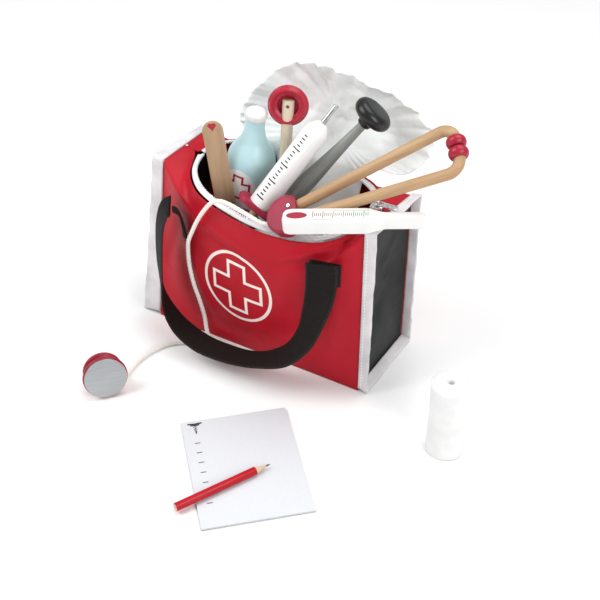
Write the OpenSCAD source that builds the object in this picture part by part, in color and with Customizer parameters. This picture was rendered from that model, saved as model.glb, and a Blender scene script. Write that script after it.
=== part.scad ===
// Toy doctor's bag in red vinyl, open, with its wooden instruments standing in it.
// A stethoscope's cord runs over the front rim to its chest piece on the floor.
// A note pad with a pencil and a roll of bandage lie in front of the bag.
// The origin is the middle of the bag's footprint on the floor. +X runs to the bag's
// right end, -Y is its front and +Z is up.

/* [Bag] */
// Width of the bag over its bound seams
bag_w = 250; // [240:1:260]
// Depth of the bag at the floor
bag_d = 87; // [82:1:92]
// Height of the bag's top corners
bag_h = 165; // [160:1:172]
// Thickness of the vinyl with its backing
cloth_t = 1.6; // [1.2:0.1:2]
// Thickness of the ribbon that binds the seams
binding_t = 2.4; // [1.8:0.1:3]
// Width of one half of the zipper's tape
tape_w = 4; // [3:0.5:7]

/* [Handles] */
// Width of the webbing
strap_w = 28; // [24:1:30]
// Thickness of the webbing
strap_t = 2; // [1.6:0.1:2.4]

/* [Instruments] */
// Length of the tongue depressor
depressor_len = 120; // [110:1:122]
// Width of the tongue depressor
depressor_w = 18; // [14:1:19]
// Diameter of the medicine bottle
bottle_d = 44; // [40:1:44]
// Height of the medicine bottle with its stopper
bottle_h = 112; // [106:1:113]
// Diameter of the syringe's barrel
barrel_d = 22; // [18:1:22]
// Diameter of the syringe's plunger rod
rod_d = 8; // [6:0.5:8]
// Diameter of the hammer's head
hammer_d = 35; // [30:1:35]
// Diameter of the otoscope's ring
ring_d = 36; // [32:1:37]
// Length of the thermometer
thermo_len = 115; // [105:1:116]
// Width of the thermometer
thermo_w = 21; // [17:1:21]
// Thickness of the thermometer
thermo_t = 12; // [9:1:12]

/* [Stethoscope] */
// Diameter of the bent wooden arms
arm_d = 9.5; // [8:0.5:9.5]
// Diameter of the wooden joining block
block_d = 34; // [32:1:35]
// Diameter of the cord
cord_d = 4; // [3:0.5:4]
// Diameter of the chest piece's face
chest_d = 40; // [36:1:41]

/* [Paper goods] */
// Width of the note pad
pad_w = 92; // [88:1:96]
// Length of the note pad
pad_l = 122; // [118:1:126]
// Length of the pencil
pencil_len = 88; // [80:1:90]
// Width of the pencil across its flats
pencil_d = 6.8; // [6:0.1:7]
// Diameter of the bandage roll
roll_d = 33; // [30:1:36]
// Height of the bandage roll
roll_h = 74; // [68:1:78]

/* [Hidden] */
$fn = 64;

vinyl_red = [0.76, 0.07, 0.16];
charcoal = [0.20, 0.21, 0.21];
ribbon_grey = [0.86, 0.86, 0.87];
webbing_black = [0.06, 0.06, 0.07];
cloth_white = [0.93, 0.93, 0.92];
painted_white = [0.95, 0.95, 0.94];
crimson = [0.62, 0.08, 0.19];
bright_red = [0.80, 0.08, 0.14];
pale_blue = [0.70, 0.85, 0.86];
steel_grey = [0.62, 0.65, 0.66];
beech = [0.83, 0.67, 0.48];
cream_wood = [0.90, 0.85, 0.72];

// Space left between two solids that don't touch, and between sewn layers
gap = 0.3;
// Space left round a pin or a rod that runs in a hole
running = 0.08;

// ---------- vectors, curves and skins ----------

function unit(v) = v / norm(v);
function mix(a, b, t) = a + (b - a) * t;
function square_to(v, t) = unit(v - t * (v * t));

// A smooth curve through the points; u runs from 0 to 1
function spline(pts, u) =
    let (
        n = len(pts) - 1,
        f = min(max(u, 0) * n, n - 0.00001),
        i = floor(f),
        t = f - i,
        a = pts[max(i - 1, 0)],
        b = pts[i],
        c = pts[i + 1],
        d = pts[min(i + 2, n)]
    )
    0.5 * (2 * b + (c - a) * t + (2 * a - 5 * b + 4 * c - d) * t * t
        + (3 * b - a - 3 * c + d) * t * t * t);
function sampled(pts, n) = [for (i = [0:n]) spline(pts, i / n)];
function tangent(p, i) = unit(p[min(i + 1, len(p) - 1)] - p[max(i - 1, 0)]);
function ring_tangent(p, i) = unit(p[(i + 1) % len(p)] - p[(i + len(p) - 1) % len(p)]);

// A side direction for each point of a path, carried along it without a twist
function carried(p, n, i = 0) =
    i == len(p) ? [] :
    let (m = square_to(n, tangent(p, i)))
    concat([m], carried(p, m, i + 1));

// A solid through like sections, each listed anticlockwise as seen from its far side
module skin(sections, closed = false) {
    n = len(sections);
    k = len(sections[0]);
    sides = [
        for (i = [0:(closed ? n - 1 : n - 2)], j = [0:k - 1])
            let (
                a = i * k + j,
                b = i * k + (j + 1) % k,
                c = ((i + 1) % n) * k + (j + 1) % k,
                d = ((i + 1) % n) * k + j
            )
            each [[a, c, b], [a, d, c]]
    ];
    last = (n - 1) * k;
    ends = closed ? [] : [for (j = [0:k / 2 - 2])
        each [[j, j + 1, k - 2 - j, k - 1 - j],
            [last + k - 1 - j, last + k - 2 - j, last + j + 1, last + j]]];
    polyhedron(points = [for (s = sections) each s], faces = concat(sides, ends), convexity = 8);
}

// The four corners of a flat band at a point: w is half its width, n half its thickness
function band(p, w, n) = [p - w - n, p + w - n, p + w + n, p - w + n];

// A sheet of cloth: a grid of points on its outer face, thickened inwards by t
module sheet(g, t) {
    m = len(g);
    n = len(g[0]);
    function out(i, j) = unit(cross(
        g[min(i + 1, m - 1)][j] - g[max(i - 1, 0)][j],
        g[i][min(j + 1, n - 1)] - g[i][max(j - 1, 0)]));
    inner = [for (i = [0:m - 1], j = [0:n - 1]) g[i][j] - t * out(i, j)];
    function at(i, j) = i * n + j;
    function quad(a, b, c, d) = [[a, c, b], [a, d, c]];
    s = m * n;
    faces = concat(
        [for (i = [0:m - 2], j = [0:n - 2])
            each quad(at(i, j), at(i + 1, j), at(i + 1, j + 1), at(i, j + 1))],
        [for (i = [0:m - 2], j = [0:n - 2])
            each quad(s + at(i, j), s + at(i, j + 1), s + at(i + 1, j + 1), s + at(i + 1, j))],
        [for (j = [0:n - 2]) each quad(at(0, j), at(0, j + 1), s + at(0, j + 1), s + at(0, j))],
        [for (j = [0:n - 2])
            each quad(at(m - 1, j + 1), at(m - 1, j), s + at(m - 1, j), s + at(m - 1, j + 1))],
        [for (i = [0:m - 2]) each quad(at(i + 1, 0), at(i, 0), s + at(i, 0), s + at(i + 1, 0))],
        [for (i = [0:m - 2])
            each quad(at(i, n - 1), at(i + 1, n - 1), s + at(i + 1, n - 1), s + at(i, n - 1))]
    );
    polyhedron(points = concat([for (r = g) each r], inner), faces = faces, convexity = 10);
}

// Puts a part drawn upright at the origin at o, with its Z along z and its X near x
module placed(o, z, x = [1, 0, 0]) {
    c = unit(z);
    a = square_to(x, c);
    b = cross(c, a);
    multmatrix([
        [a[0], b[0], c[0], o[0]],
        [a[1], b[1], c[1], o[1]],
        [a[2], b[2], c[2], o[2]],
    ]) children();
}

// ---------- the bag ----------

// Places on the bag are written for a bag of 250 x 87 x 165 and follow its real size
function on_bag(p) = [p[0] * bag_w / 250, p[1] * bag_d / 87, p[2] * bag_h / 165];
function all_on_bag(ps) = [for (p = ps) on_bag(p)];

// Corners of the front panel's and the back panel's side seams
front_left = all_on_bag([[-104, -43.5, 0], [-99, -25, 165]]);
front_right = all_on_bag([[114, -43.5, 0], [109, -33, 163]]);
back_left = all_on_bag([[-104, 43.5, 0], [-98, 44, 165]]);
back_right = all_on_bag([[114, 43.5, 0], [116, 42, 162]]);
// Middles of the gussets' top edges, and the two ends of the mouth
top_left = mix(front_left[1], back_left[1], 0.5);
top_right = mix(front_right[1], back_right[1], 0.5);
mouth_left = on_bag([-86, 7, 162]);
mouth_right = on_bag([100, 2, 162]);
// Half the space between the two panels where they meet beyond the mouth
meet = [0, 1.8, 0];

// The rim of the open mouth, from the left gusset to the right one
front_rim = concat([top_left - meet, mouth_left - meet], all_on_bag([
    [-76, -19, 157], [-59, -37, 154], [-39, -46, 150.5], [-17, -50, 147], [6, -52, 144],
    [30, -51, 142], [54, -47, 142], [75, -39, 145], [92, -26, 153]]),
    [mouth_right - meet, top_right - meet]);
back_rim = concat([top_left + meet, mouth_left + meet], all_on_bag([
    [-79, 26, 164], [-66, 38, 166], [-46, 46, 167], [-24, 50, 167], [5, 51, 166],
    [34, 50, 165], [60, 46, 164], [82, 38, 163], [95, 24, 162]]),
    [mouth_right + meet, top_right + meet]);
// The soft fold where each panel turns into the top strip that carries the zipper
front_fold = concat([front_left[1]], all_on_bag([
    [-72, -40, 146], [-36, -49, 128], [5, -54, 118], [45, -53, 116], [82, -46, 130]]),
    [front_right[1]]);
back_fold = concat([back_left[1]], all_on_bag([
    [-64, 55, 152], [-29, 59, 146], [6, 60, 144], [42, 59, 146], [78, 54, 152]]),
    [back_right[1]]);

belly = 4;         // how far the panels bulge between the floor and the fold
fold_at = 0.75;    // where the fold lies on the way from the floor to the rim
panel_cols = 24;
panel_rows = 12;

function panel_point(foot, fold, rim, side, s, t) =
    t < fold_at
        ? mix(mix(foot[0], foot[1], s), spline(fold, s), t / fold_at)
            + [0, side * belly * sin(180 * t / fold_at) * sin(180 * s), 0]
        : mix(spline(fold, s), spline(rim, s), (t - fold_at) / (1 - fold_at));

function front_point(s, t) =
    panel_point([front_left[0], front_right[0]], front_fold, front_rim, -1, s, t);
function back_point(s, t) =
    panel_point([back_left[0], back_right[0]], back_fold, back_rim, 1, s, t);

module front_panel() {
    color(vinyl_red) sheet([for (j = [0:panel_cols])
        [for (i = [0:panel_rows]) front_point(j / panel_cols, i / panel_rows)]], cloth_t);
}

module back_panel() {
    color(vinyl_red) sheet([for (j = [panel_cols:-1:0])
        [for (i = [0:panel_rows]) back_point(j / panel_cols, i / panel_rows)]], cloth_t);
}

// A gusset hangs between its two seams, just inside the panels, and is drawn in a little
gusset_in = 6;
gusset_foot = 2.2;
gusset_n = 8;

function gusset_point(front, back, side, s, t) =
    let (
        edge = (cloth_t + gap) / bag_d,
        q = edge + (1 - 2 * edge) * s,
        low = gusset_foot / bag_h,
        high = 1 - (cloth_t + gap) * 1.5 / bag_h,
        u = low + (high - low) * t
    )
    mix(mix(front[0], front[1], u), mix(back[0], back[1], u), q)
        - [side * gusset_in * sin(180 * s) * sin(180 * t), 0, 0];

module left_gusset() {
    color(charcoal) sheet([for (j = [gusset_n:-1:0])
        [for (i = [0:gusset_n])
            gusset_point(front_left, back_left, -1, j / gusset_n, i / gusset_n)]], cloth_t);
}

module right_gusset() {
    color(charcoal) sheet([for (j = [0:gusset_n])
        [for (i = [0:gusset_n])
            gusset_point(front_right, back_right, 1, j / gusset_n, i / gusset_n)]], cloth_t);
}

module bag_bottom() {
    inset = cloth_t + gap;
    y = front_left[0][1] + inset;
    color(charcoal)
        translate([front_left[0][0] + gap, y, 0])
            cube([front_right[0][0] - front_left[0][0] - 2 * gap, -2 * y, cloth_t]);
}

// The bound seam round each gusset: a ribbon that stands out from the seam all the way.
// Each corner is [on the seam, at the ribbon's free edge].
left_corners = [
    [on_bag([-104.5, -43.5, 5]), on_bag([-124.5, -43, 1.6])],
    [on_bag([-99.5, -25, 165]), on_bag([-112, -24, 166])],
    [on_bag([-98.5, 44, 165]), on_bag([-108, 44, 166])],
    [on_bag([-104.5, 43.5, 5]), on_bag([-124.5, 43, 1.6])],
];
right_corners = [
    [on_bag([114.5, -43.5, 5]), on_bag([124.5, -43, 1.6])],
    [on_bag([109.5, -33, 163]), on_bag([121, -31, 164])],
    [on_bag([116.5, 42, 162]), on_bag([125.5, 43, 163])],
    [on_bag([114.5, 43.5, 5]), on_bag([124.5, 43, 1.6])],
];
seam_n = 6;

module seam_ribbon(corners) {
    edge = [for (k = [0:3], i = [0:seam_n - 1]) mix(corners[k][0], corners[(k + 1) % 4][0], i / seam_n)];
    free = [for (k = [0:3], i = [0:seam_n - 1]) mix(corners[k][1], corners[(k + 1) % 4][1], i / seam_n)];
    skin([for (i = [0:len(edge) - 1])
        let (w = (free[i] - edge[i]) / 2, n = unit(cross(ring_tangent(edge, i), w)))
        band(edge[i] + w, w, n * binding_t / 2)], closed = true);
}

module left_binding() {
    color(ribbon_grey) seam_ribbon(left_corners);
}

module right_binding() {
    color(ribbon_grey) seam_ribbon(right_corners);
}

// The zipper: a tape sewn along each half of the rim, with its teeth on the free edge
tape_t = 1;
tape_from = cloth_t + gap + 1.4;
teeth_w = 2.2;
teeth_t = 2.2;
tape_n = 28;
tape_rise = 0.15;

function tape_path(rim) =
    let (open = [for (i = [1:len(rim) - 2]) rim[i]])
    [for (i = [0:tape_n]) spline(open, 0.02 + 0.94 * i / tape_n)];
// Directions along the rim, into the mouth
function into(p) = unit([-0.12 * p[0], 6 - p[1], 0] + [0, 0, tape_rise * norm([p[0] * 0.12, 6 - p[1]])]);

module along_rim(rim, from, wide, thick) {
    p = tape_path(rim);
    skin([for (i = [0:len(p) - 1])
        let (
            w = into(p[i]) * wide / 2,
            n = unit(cross(tangent(p, i), w)) * thick / 2
        )
        band(p[i] + into(p[i]) * from + w, w, n)]);
}

module zipper_tape_front() {
    color(painted_white) along_rim(front_rim, tape_from, tape_w, tape_t);
}

module zipper_tape_back() {
    color(painted_white) along_rim(back_rim, tape_from, tape_w, tape_t);
}

module zipper_teeth_front() {
    color(painted_white) along_rim(front_rim, tape_from + tape_w, teeth_w, teeth_t);
}

module zipper_teeth_back() {
    color(painted_white) along_rim(back_rim, tape_from + tape_w, teeth_w, teeth_t);
}

// The slider stands at the right end of the mouth, where the two tapes meet
slider_at = mouth_right + [2, 1, 3.2];
slider_size = [11, 8, 4];
pull_pin = slider_at + [0, 0, slider_size[2] / 2 + 2];
pull_size = [18, 6, 1.4];

module zipper_slider() {
    color(steel_grey) {
        translate(slider_at - slider_size / 2) cube(slider_size);
        difference() {
            translate(pull_pin) rotate([90, 0, 0]) cylinder(d = 5, h = 3, center = true);
            translate(pull_pin) rotate([90, 0, 0]) cylinder(d = 2.4, h = 4, center = true);
        }
    }
}

// The pull hangs on the slider's eye by its own wire loop
module zipper_pull() {
    color(steel_grey) {
        translate(pull_pin) rotate([90, 0, 0]) cylinder(d = 2.3, h = 7, center = true);
        for (side = [-1, 1])
            translate(pull_pin + [0, side * 2.8, 0]) rotate([0, 90, 0]) cylinder(d = 1.4, h = 6);
        translate(pull_pin + [6, -pull_size[1] / 2, -pull_size[2] / 2]) cube([12, pull_size[1], pull_size[2]]);
    }
}

// ---------- the handles ----------

// Each row is [a point on the middle of the webbing, the direction across its width]
front_strap = [
    [[80, -52.8, 132.5], [1, 0.25, 0]], [[81.5, -54.8, 116], [1, 0.2, 0]],
    [[80.5, -57, 100], [1, 0, -0.1]], [[77.5, -61, 81.5], [0.92, -0.35, -0.25]],
    [[72, -66.5, 60], [0.75, -0.62, -0.3]], [[58, -72, 39.5], [0.45, -0.87, -0.2]],
    [[35.5, -75.5, 26.5], [0.1, -1, 0]], [[15, -77, 20], [0, -1, 0.1]],
    [[-8, -77, 17], [0, -1, 0.1]], [[-34, -76, 17.5], [0.1, -1, 0.1]],
    [[-59, -74, 28], [0.3, -0.95, 0.1]], [[-75, -71, 48.5], [0.55, -0.85, 0]],
    [[-80.5, -67, 76], [0.7, -0.72, 0]], [[-82, -62.5, 108], [0.74, -0.67, 0]],
    [[-80.5, -59.5, 127], [0.74, -0.67, 0]], [[-76.5, -57.5, 138], [0.74, -0.67, 0]],
    [[-72, -55.5, 142], [0.74, -0.67, 0]],
];
front_tab_left = [
    [[-66.8, -58.6, 142.2], [0.74, -0.67, 0]], [[-63.3, -56, 139], [0.74, -0.67, 0]],
    [[-62.5, -53, 131], [0.74, -0.67, 0]], [[-62, -51, 119], [0.76, -0.65, 0]],
    [[-61, -50.5, 109], [0.8, -0.6, 0]],
];
front_tab_right = [
    [[81, -47.4, 131.5], [1, 0.3, 0]], [[81, -48.6, 124], [1, 0.3, 0]],
    [[81, -48.6, 116], [1, 0.3, 0]], [[81, -48.7, 109], [1, 0.3, 0]],
];
back_strap = [
    [[-72, 59.5, 134.5], [1, 0, 0]], [[-75, 61, 118], [1, 0, 0]],
    [[-77, 62.5, 100], [0.97, 0, 0.2]], [[-72, 64.5, 78], [0.85, 0.2, 0.5]],
    [[-58, 67, 56], [0.65, 0.3, 0.7]], [[-36, 69.5, 40], [0.35, 0.4, 0.9]],
    [[-6, 70.5, 34], [0, 0.45, 0.9]], [[26, 69.5, 40], [-0.35, 0.4, 0.9]],
    [[50, 67, 56], [-0.65, 0.3, 0.7]], [[68, 64.5, 78], [-0.85, 0.2, 0.5]],
    [[77, 62.5, 100], [-0.97, 0, 0.2]], [[77, 61, 118], [-1, 0, 0]],
    [[74, 59.5, 134.5], [-1, 0, 0]],
];
tab_h = 23;
// The left tab is folded narrower where it is sewn down
folded_w = 12;
strap_steps = 3;

module webbing(route, wide = strap_w) {
    p = sampled([for (r = route) r[0]], strap_steps * (len(route) - 1));
    d = sampled([for (r = route) unit(r[1])], strap_steps * (len(route) - 1));
    skin([for (i = [0:len(p) - 1])
        let (
            t = tangent(p, i),
            w = square_to(d[i], t)
        )
        band(p[i], w * wide / 2, cross(t, w) * strap_t / 2)]);
}

module front_handle_strap() {
    color(webbing_black) webbing(front_strap);
}

module back_handle_strap() {
    color(webbing_black) webbing(back_strap);
}

module front_handle_tabs() {
    color(webbing_black) {
        webbing(front_tab_left, folded_w);
        webbing(front_tab_right);
    }
}

// The back tabs lie on the panel just below the straps' folds
module back_handle_tabs() {
    color(webbing_black)
        for (side = [[-72, 55, 0.13], [74, 57, -0.06]])
            webbing([for (drop = [0, 10, tab_h])
                [[side[0], side[1] - 0.04 * drop, 132 - drop], [1, side[2], 0]]]);
}

// ---------- the surgical cap ----------

// The cap's gathered edge, seen from the front as [x, z], going round from low on the left
cap_edge = [
    [-10, 82], [-14, 150], [-30, 174], [-52, 178], [-61, 188], [-57, 203], [-44, 222],
    [-20, 243], [8, 251], [40, 249], [74, 243], [104, 235], [126, 217], [125, 196],
    [108, 179], [84, 177], [60, 172], [44, 160], [44, 84], [18, 62],
];
cap_mid = [30, 190];
cap_rings = 6;
cap_spokes = 48;
cap_bowl = 12;       // how deep the cap's bowl is behind its edge
cap_thick = 3;
frill = 1.4;         // how far the gathers wave in and out
frills = 24;

// Where the edge lies from front to back: it leans back above the rim
function cap_lean(z) = spline([32, 33, 33.5, 37.5, 45.5, 51, 56], (z - 100) / 150);
// The bowl is shallow where it stands inside the bag's mouth
function cap_swell(z) = min(max((z - 172) / 30, 0), 1);
function closed_spline(pts, u) =
    let (n = len(pts), wrapped = concat([pts[n - 1]], pts, [pts[0], pts[1]]))
    spline(wrapped, (1 + u * n) / (n + 2));
function cap_point(r, a, deep, thick) =
    let (
        e = closed_spline(cap_edge, a / 360),
        q = cap_mid + (e - cap_mid) * r,
        swell = cap_swell(q[1]),
        wave = frill * (0.2 + 0.8 * swell) * r * r * sin(frills * a)
    )
    [q[0], cap_lean(q[1]) + swell * (deep * (1 - r * r) + thick) + wave + 2.4 * (thick > 0 ? 1 : 0), q[1]];

// The heap of bunched cloth low in the bag that holds the instruments up: [x, height]
heap_line = [58, 74, 88, 100, 110, 119, 118, 108, 92, 74];
heap_x = [-72, 72];
heap_y = [-30, 36];
heap_n = [18, 8];
heap_foot = 2.5;

function heap_height(u, v) =
    spline(heap_line, u) * (0.62 + 0.38 * sqrt(max(0, sin(180 * v))))
        + 3 * sin(900 * u) * sin(540 * v);

module cap_heap() {
    m = heap_n[0];
    n = heap_n[1];
    function spot(i, j, z) = [
        mix(heap_x[0], heap_x[1], i / m), mix(heap_y[0], heap_y[1], j / n), z];
    skin([for (i = [0:m]) concat(
        [for (j = [0:n]) spot(i, j, heap_foot)],
        [for (j = [n:-1:0]) spot(i, j, heap_height(i / m, j / n))])]);
}

module surgical_cap() {
    k = cap_spokes;
    front = [for (i = [1:cap_rings], j = [0:k - 1])
        cap_point(i / cap_rings, j * 360 / k, cap_bowl, 0)];
    back = [for (i = [cap_rings:-1:1], j = [0:k - 1])
        cap_point(i / cap_rings, j * 360 / k, cap_bowl * 1.4, cap_thick)];
    rings = 2 * cap_rings;
    points = concat(front, back, [cap_point(0, 0, cap_bowl, 0)],
        [cap_point(0, 0, cap_bowl * 1.4, cap_thick)]);
    sides = [for (i = [0:rings - 2], j = [0:k - 1])
        let (a = i * k + j, b = i * k + (j + 1) % k, c = (i + 1) * k + (j + 1) % k, d = (i + 1) * k + j)
        each [[a, c, b], [a, d, c]]];
    hubs = [for (j = [0:k - 1]) each [
        [j, (j + 1) % k, rings * k],
        [(rings - 1) * k + (j + 1) % k, (rings - 1) * k + j, rings * k + 1]]];
    color(cloth_white) union() {
        polyhedron(points = points, faces = concat(sides, hubs), convexity = 8);
        cap_heap();
    }
}

// ---------- the instruments in the bag ----------

depressor_top = [-51, -16, 213];
depressor_axis = [-0.129, -0.014, 0.992];
depressor_t = 3.5;
view_side = [0.86, 0.51, 0];

module tongue_depressor() {
    r = depressor_w / 2;
    color(beech) placed(depressor_top, depressor_axis, view_side)
        rotate([90, 0, 0])
            translate([0, 0, -depressor_t / 2]) linear_extrude(depressor_t)
                translate([0, -r]) {
                    circle(r);
                    translate([0, 2 * r - depressor_len]) circle(r);
                    translate([-r, 2 * r - depressor_len]) square([2 * r, depressor_len - 2 * r]);
                }
}

bottle_top = [-24, 14.5, 216.6];
bottle_axis = [0.139, 0, 0.990];
bottle_base = bottle_top - bottle_h * unit(bottle_axis);
stopper_h = 7;
neck_d = 17.6;
shoulder_z = 62;

module bottle_body() {
    r = bottle_d / 2;
    n = neck_d / 2;
    neck_z = bottle_h - stopper_h;
    shoulder = sampled([
        [r, shoulder_z], [r - 1.2, shoulder_z + 7], [r - 4.8, shoulder_z + 14], [r - 9.5, shoulder_z + 21],
        [n + 1.2, shoulder_z + 28], [n, shoulder_z + 34], [n, neck_z - 2], [n + 0.4, neck_z]], 24);
    color(pale_blue) placed(bottle_base, bottle_axis)
        rotate_extrude() polygon(concat([[0, 0], [r - 2, 0], [r, 2]], shoulder, [[0, neck_z]]));
}

module bottle_stopper() {
    color(painted_white) placed(bottle_top - stopper_h * unit(bottle_axis), bottle_axis)
        rotate_extrude() polygon([[0, 0], [9.6, 0], [10, 1], [10, stopper_h - 2],
            [8.5, stopper_h], [0, stopper_h]]);
}

// An oval sticker on the front of the bottle
label_size = [32, 44];
label_z = 39;
label_t = 0.3;

module bottle_label() {
    r = bottle_d / 2;
    color(painted_white) placed(bottle_base, bottle_axis, [0.05, -1, 0])
        intersection() {
            difference() {
                cylinder(r = r + label_t, h = shoulder_z);
                translate([0, 0, -1]) cylinder(r = r, h = shoulder_z + 2);
            }
            translate([0, 0, label_z]) rotate([0, 90, 0])
                linear_extrude(2 * r) scale([label_size[1] / label_size[0], 1]) circle(d = label_size[0]);
        }
}

// The syringe's origin is the top of its finger flange, where the barrel stands
syringe_at = [2.6, -24, 149.9];
syringe_axis = [0.410, 0.479, 0.776];
syringe_across = [0.864, 0.070, -0.499];
barrel_len = 79;
nose_len = 11;
needle_len = 19;
needle_d = 4.6;
flange_size = [41, 24];
flange_t = 5.5;
bore_len = 62;
rod_in = 50;       // length of the rod that is inside the barrel
rod_out = 7;      // length of the rod that shows behind the flange
knob_d = 24;
knob_t = 6;

module in_syringe() {
    placed(syringe_at, syringe_axis, syringe_across) children();
}

module syringe_barrel() {
    r = barrel_d / 2;
    nose = sampled([[r, barrel_len], [r - 1.6, barrel_len + 4], [r - 5, barrel_len + 9],
        [needle_d / 2 + 1, barrel_len + nose_len]], 12);
    color(painted_white) in_syringe()
        difference() {
            rotate_extrude() polygon(concat([[0, 0], [r, 0]], nose,
                [[0, barrel_len + nose_len]]));
            translate([0, 0, -1]) cylinder(d = rod_d + 2 * running, h = bore_len + 1);
            translate([0, 0, barrel_len + nose_len - 8]) cylinder(d = needle_d, h = 9);
        }
}

module syringe_flange() {
    d = flange_size[1];
    off = (flange_size[0] - d) / 2;
    color(crimson) in_syringe()
        difference() {
            translate([0, 0, -flange_t]) linear_extrude(flange_t) {
                for (side = [-1, 1]) translate([side * off, 0]) circle(d = d);
                translate([-off, -d / 2]) square([2 * off, d]);
            }
            translate([0, 0, -flange_t - 1]) cylinder(d = rod_d + 2 * running, h = flange_t + 2);
        }
}

module syringe_needle() {
    top = barrel_len + nose_len + needle_len;
    color(steel_grey) in_syringe()
        translate([0, 0, barrel_len + nose_len - 8])
            cylinder(d = needle_d, h = top - (barrel_len + nose_len - 8));
}

module syringe_rod() {
    color(beech) in_syringe()
        translate([0, 0, -flange_t - rod_out]) cylinder(d = rod_d, h = rod_in + flange_t + rod_out);
}

module syringe_knob() {
    r = knob_d / 2;
    color(crimson) in_syringe()
        translate([0, 0, -flange_t - rod_out - knob_t])
            rotate_extrude() polygon([[0, 0], [r - 1.5, 0], [r, 1.5], [r, knob_t - 1.5],
                [r - 1.5, knob_t], [0, knob_t]]);
}

// The hammer's origin is the middle of its head
hammer_at = [78.1, 35, 231];
hammer_axis = [0.556, 0.322, 0.766];
hammer_len = 106;
hammer_t = 13;
collar_h = 6;

module in_hammer() {
    placed(hammer_at, hammer_axis) children();
}

module hammer_handle() {
    foot = -hammer_len;
    side = sampled([
        [5.4, foot], [7.2, foot + 3], [8, foot + 12], [7.4, foot + 30], [6, foot + 50],
        [4.8, foot + 70], [4.1, foot + 86], [4, -hammer_t / 2 - collar_h]], 28);
    color(steel_grey) in_hammer()
        rotate_extrude() polygon(concat([[0, foot]], side, [[0, -hammer_t / 2 - collar_h]]));
}

module hammer_collar() {
    color(webbing_black) in_hammer()
        translate([0, 0, -hammer_t / 2 - collar_h]) cylinder(d1 = 11.5, d2 = 15, h = collar_h);
}

module hammer_head() {
    r = hammer_d / 2;
    h = hammer_t / 2;
    color(webbing_black) in_hammer()
        rotate_extrude() {
            translate([0, -h]) square([r - h, hammer_t]);
            translate([r - h, 0]) intersection() {
                circle(h);
                translate([0, -h]) square([h, hammer_t]);
            }
        }
}

// The otoscope's origin is the middle of its ring; the handle's end stands in the ring
otoscope_at = [-1, 29.4, 221];
otoscope_down = [0.055, -0.214, -0.975];
otoscope_face = [0.37, -0.80, 0.44];
ring_t = 12;
otoscope_d = 10.4;
otoscope_len = 86;
peg_up = 5;
eye_d = 3.2;

module in_otoscope() {
    placed(otoscope_at, square_to(otoscope_face, unit(otoscope_down)), otoscope_down) children();
}

module otoscope_ring() {
    r = ring_d / 2;
    h = ring_t / 2;
    color(bright_red) in_otoscope()
        difference() {
            rotate_extrude() polygon(concat([[0, -h], [r - 3, -h]],
                [for (a = [-60:15:60]) [r - 3 + 3 * cos(a), (h - 3) * sin(a) / sin(60)]],
                [[r - 3, h], [13.5, h], [12, h - 3], [9.5, h - 4], [8.5, -h + 3.5], [0, -h + 3.5]]));
            translate([-peg_up - gap / 2, 0, 0]) rotate([0, 90, 0])
                cylinder(d = otoscope_d + 0.1, h = r + 10);
            translate([0, 0, -h - 1]) cylinder(d = eye_d, h = ring_t + 2);
        }
}

module otoscope_handle() {
    color(cream_wood) in_otoscope()
        difference() {
            translate([-peg_up, 0, 0]) rotate([0, 90, 0]) cylinder(d = otoscope_d, h = otoscope_len + peg_up);
            translate([0, 0, -ring_t]) cylinder(d = eye_d, h = 2 * ring_t);
        }
}

// The thermometer's origin is the middle of its broad end
thermo_at = [52.85, -68.85, 174.7];
thermo_axis = [0.904, 0.421, 0.076];
tail_w = 8;
tail_from = 66;
tail_to = 84;

module thermometer() {
    w = thermo_w / 2;
    t = tail_w / 2;
    shoulder = [for (i = [0:10])
        [mix(tail_from, tail_to, i / 10), mix(w, t, (1 - cos(18 * i)) / 2)]];
    half = concat([[0, w - 6], [1.8, w - 1.8], [6, w]], shoulder,
        [[thermo_len - 3, t], [thermo_len - 0.8, t - 0.9], [thermo_len, t - 3]]);
    mirrored = [for (i = [len(half) - 1:-1:0]) [half[i][0], -half[i][1]]];
    across = cross([0, 0, 1], unit(thermo_axis));
    color(painted_white) placed(thermo_at, cross(unit(thermo_axis), across), thermo_axis)
        translate([0, 0, -thermo_t / 2]) linear_extrude(thermo_t) polygon(concat(half, mirrored));
}

// ---------- the stethoscope ----------

// Middle of the block, the way the arms point, and the way one arm lies from the other
block_at = [40, -41, 160];
arms_along = [0.809, 0.308, 0.501];
arms_apart = [-0.554, 0.685, 0.474];
block_t = 15;
block_flat = 13;
pivot_a = 6;
pivot_b = 5.3;
pin_d = 3;
slot_w = arm_d + 2 * gap;
arm_slope = 5.7;
arm_reach = 145;
arm_bend_r = 11;
tip_d = 16.5;
tip_t = 9.5;

// Local axes in the stethoscope: X along the arms, Y from the front arm to the back arm
module in_stethoscope() {
    x = unit(arms_along);
    z = cross(x, square_to(arms_apart, x));
    placed(block_at, z, x) children();
}

module stethoscope_block() {
    r = block_d / 2;
    color(crimson) in_stethoscope()
        difference() {
            intersection() {
                rotate_extrude() polygon([[0, -block_t / 2], [r - 2, -block_t / 2],
                    [r, -block_t / 2 + 2], [r, block_t / 2 - 2], [r - 2, block_t / 2],
                    [0, block_t / 2]]);
                translate([-r, -r, -block_t]) cube([r + block_flat, 2 * r, 2 * block_t]);
            }
            translate([-3, -13, -slot_w / 2]) cube([40, 26, slot_w]);
            for (side = [-1, 1])
                translate([pivot_a, side * pivot_b, -block_t]) cylinder(d = pin_d, h = 2 * block_t);
        }
}

module stethoscope_pins() {
    color(steel_grey) in_stethoscope()
        for (side = [-1, 1])
            translate([pivot_a, side * pivot_b, -block_t / 2]) cylinder(d = pin_d, h = block_t);
}

// One bent arm, drawn for the back (+Y) side: a straight rod, then a quarter bend inwards
arm_straight = arm_reach - pivot_a;

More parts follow.
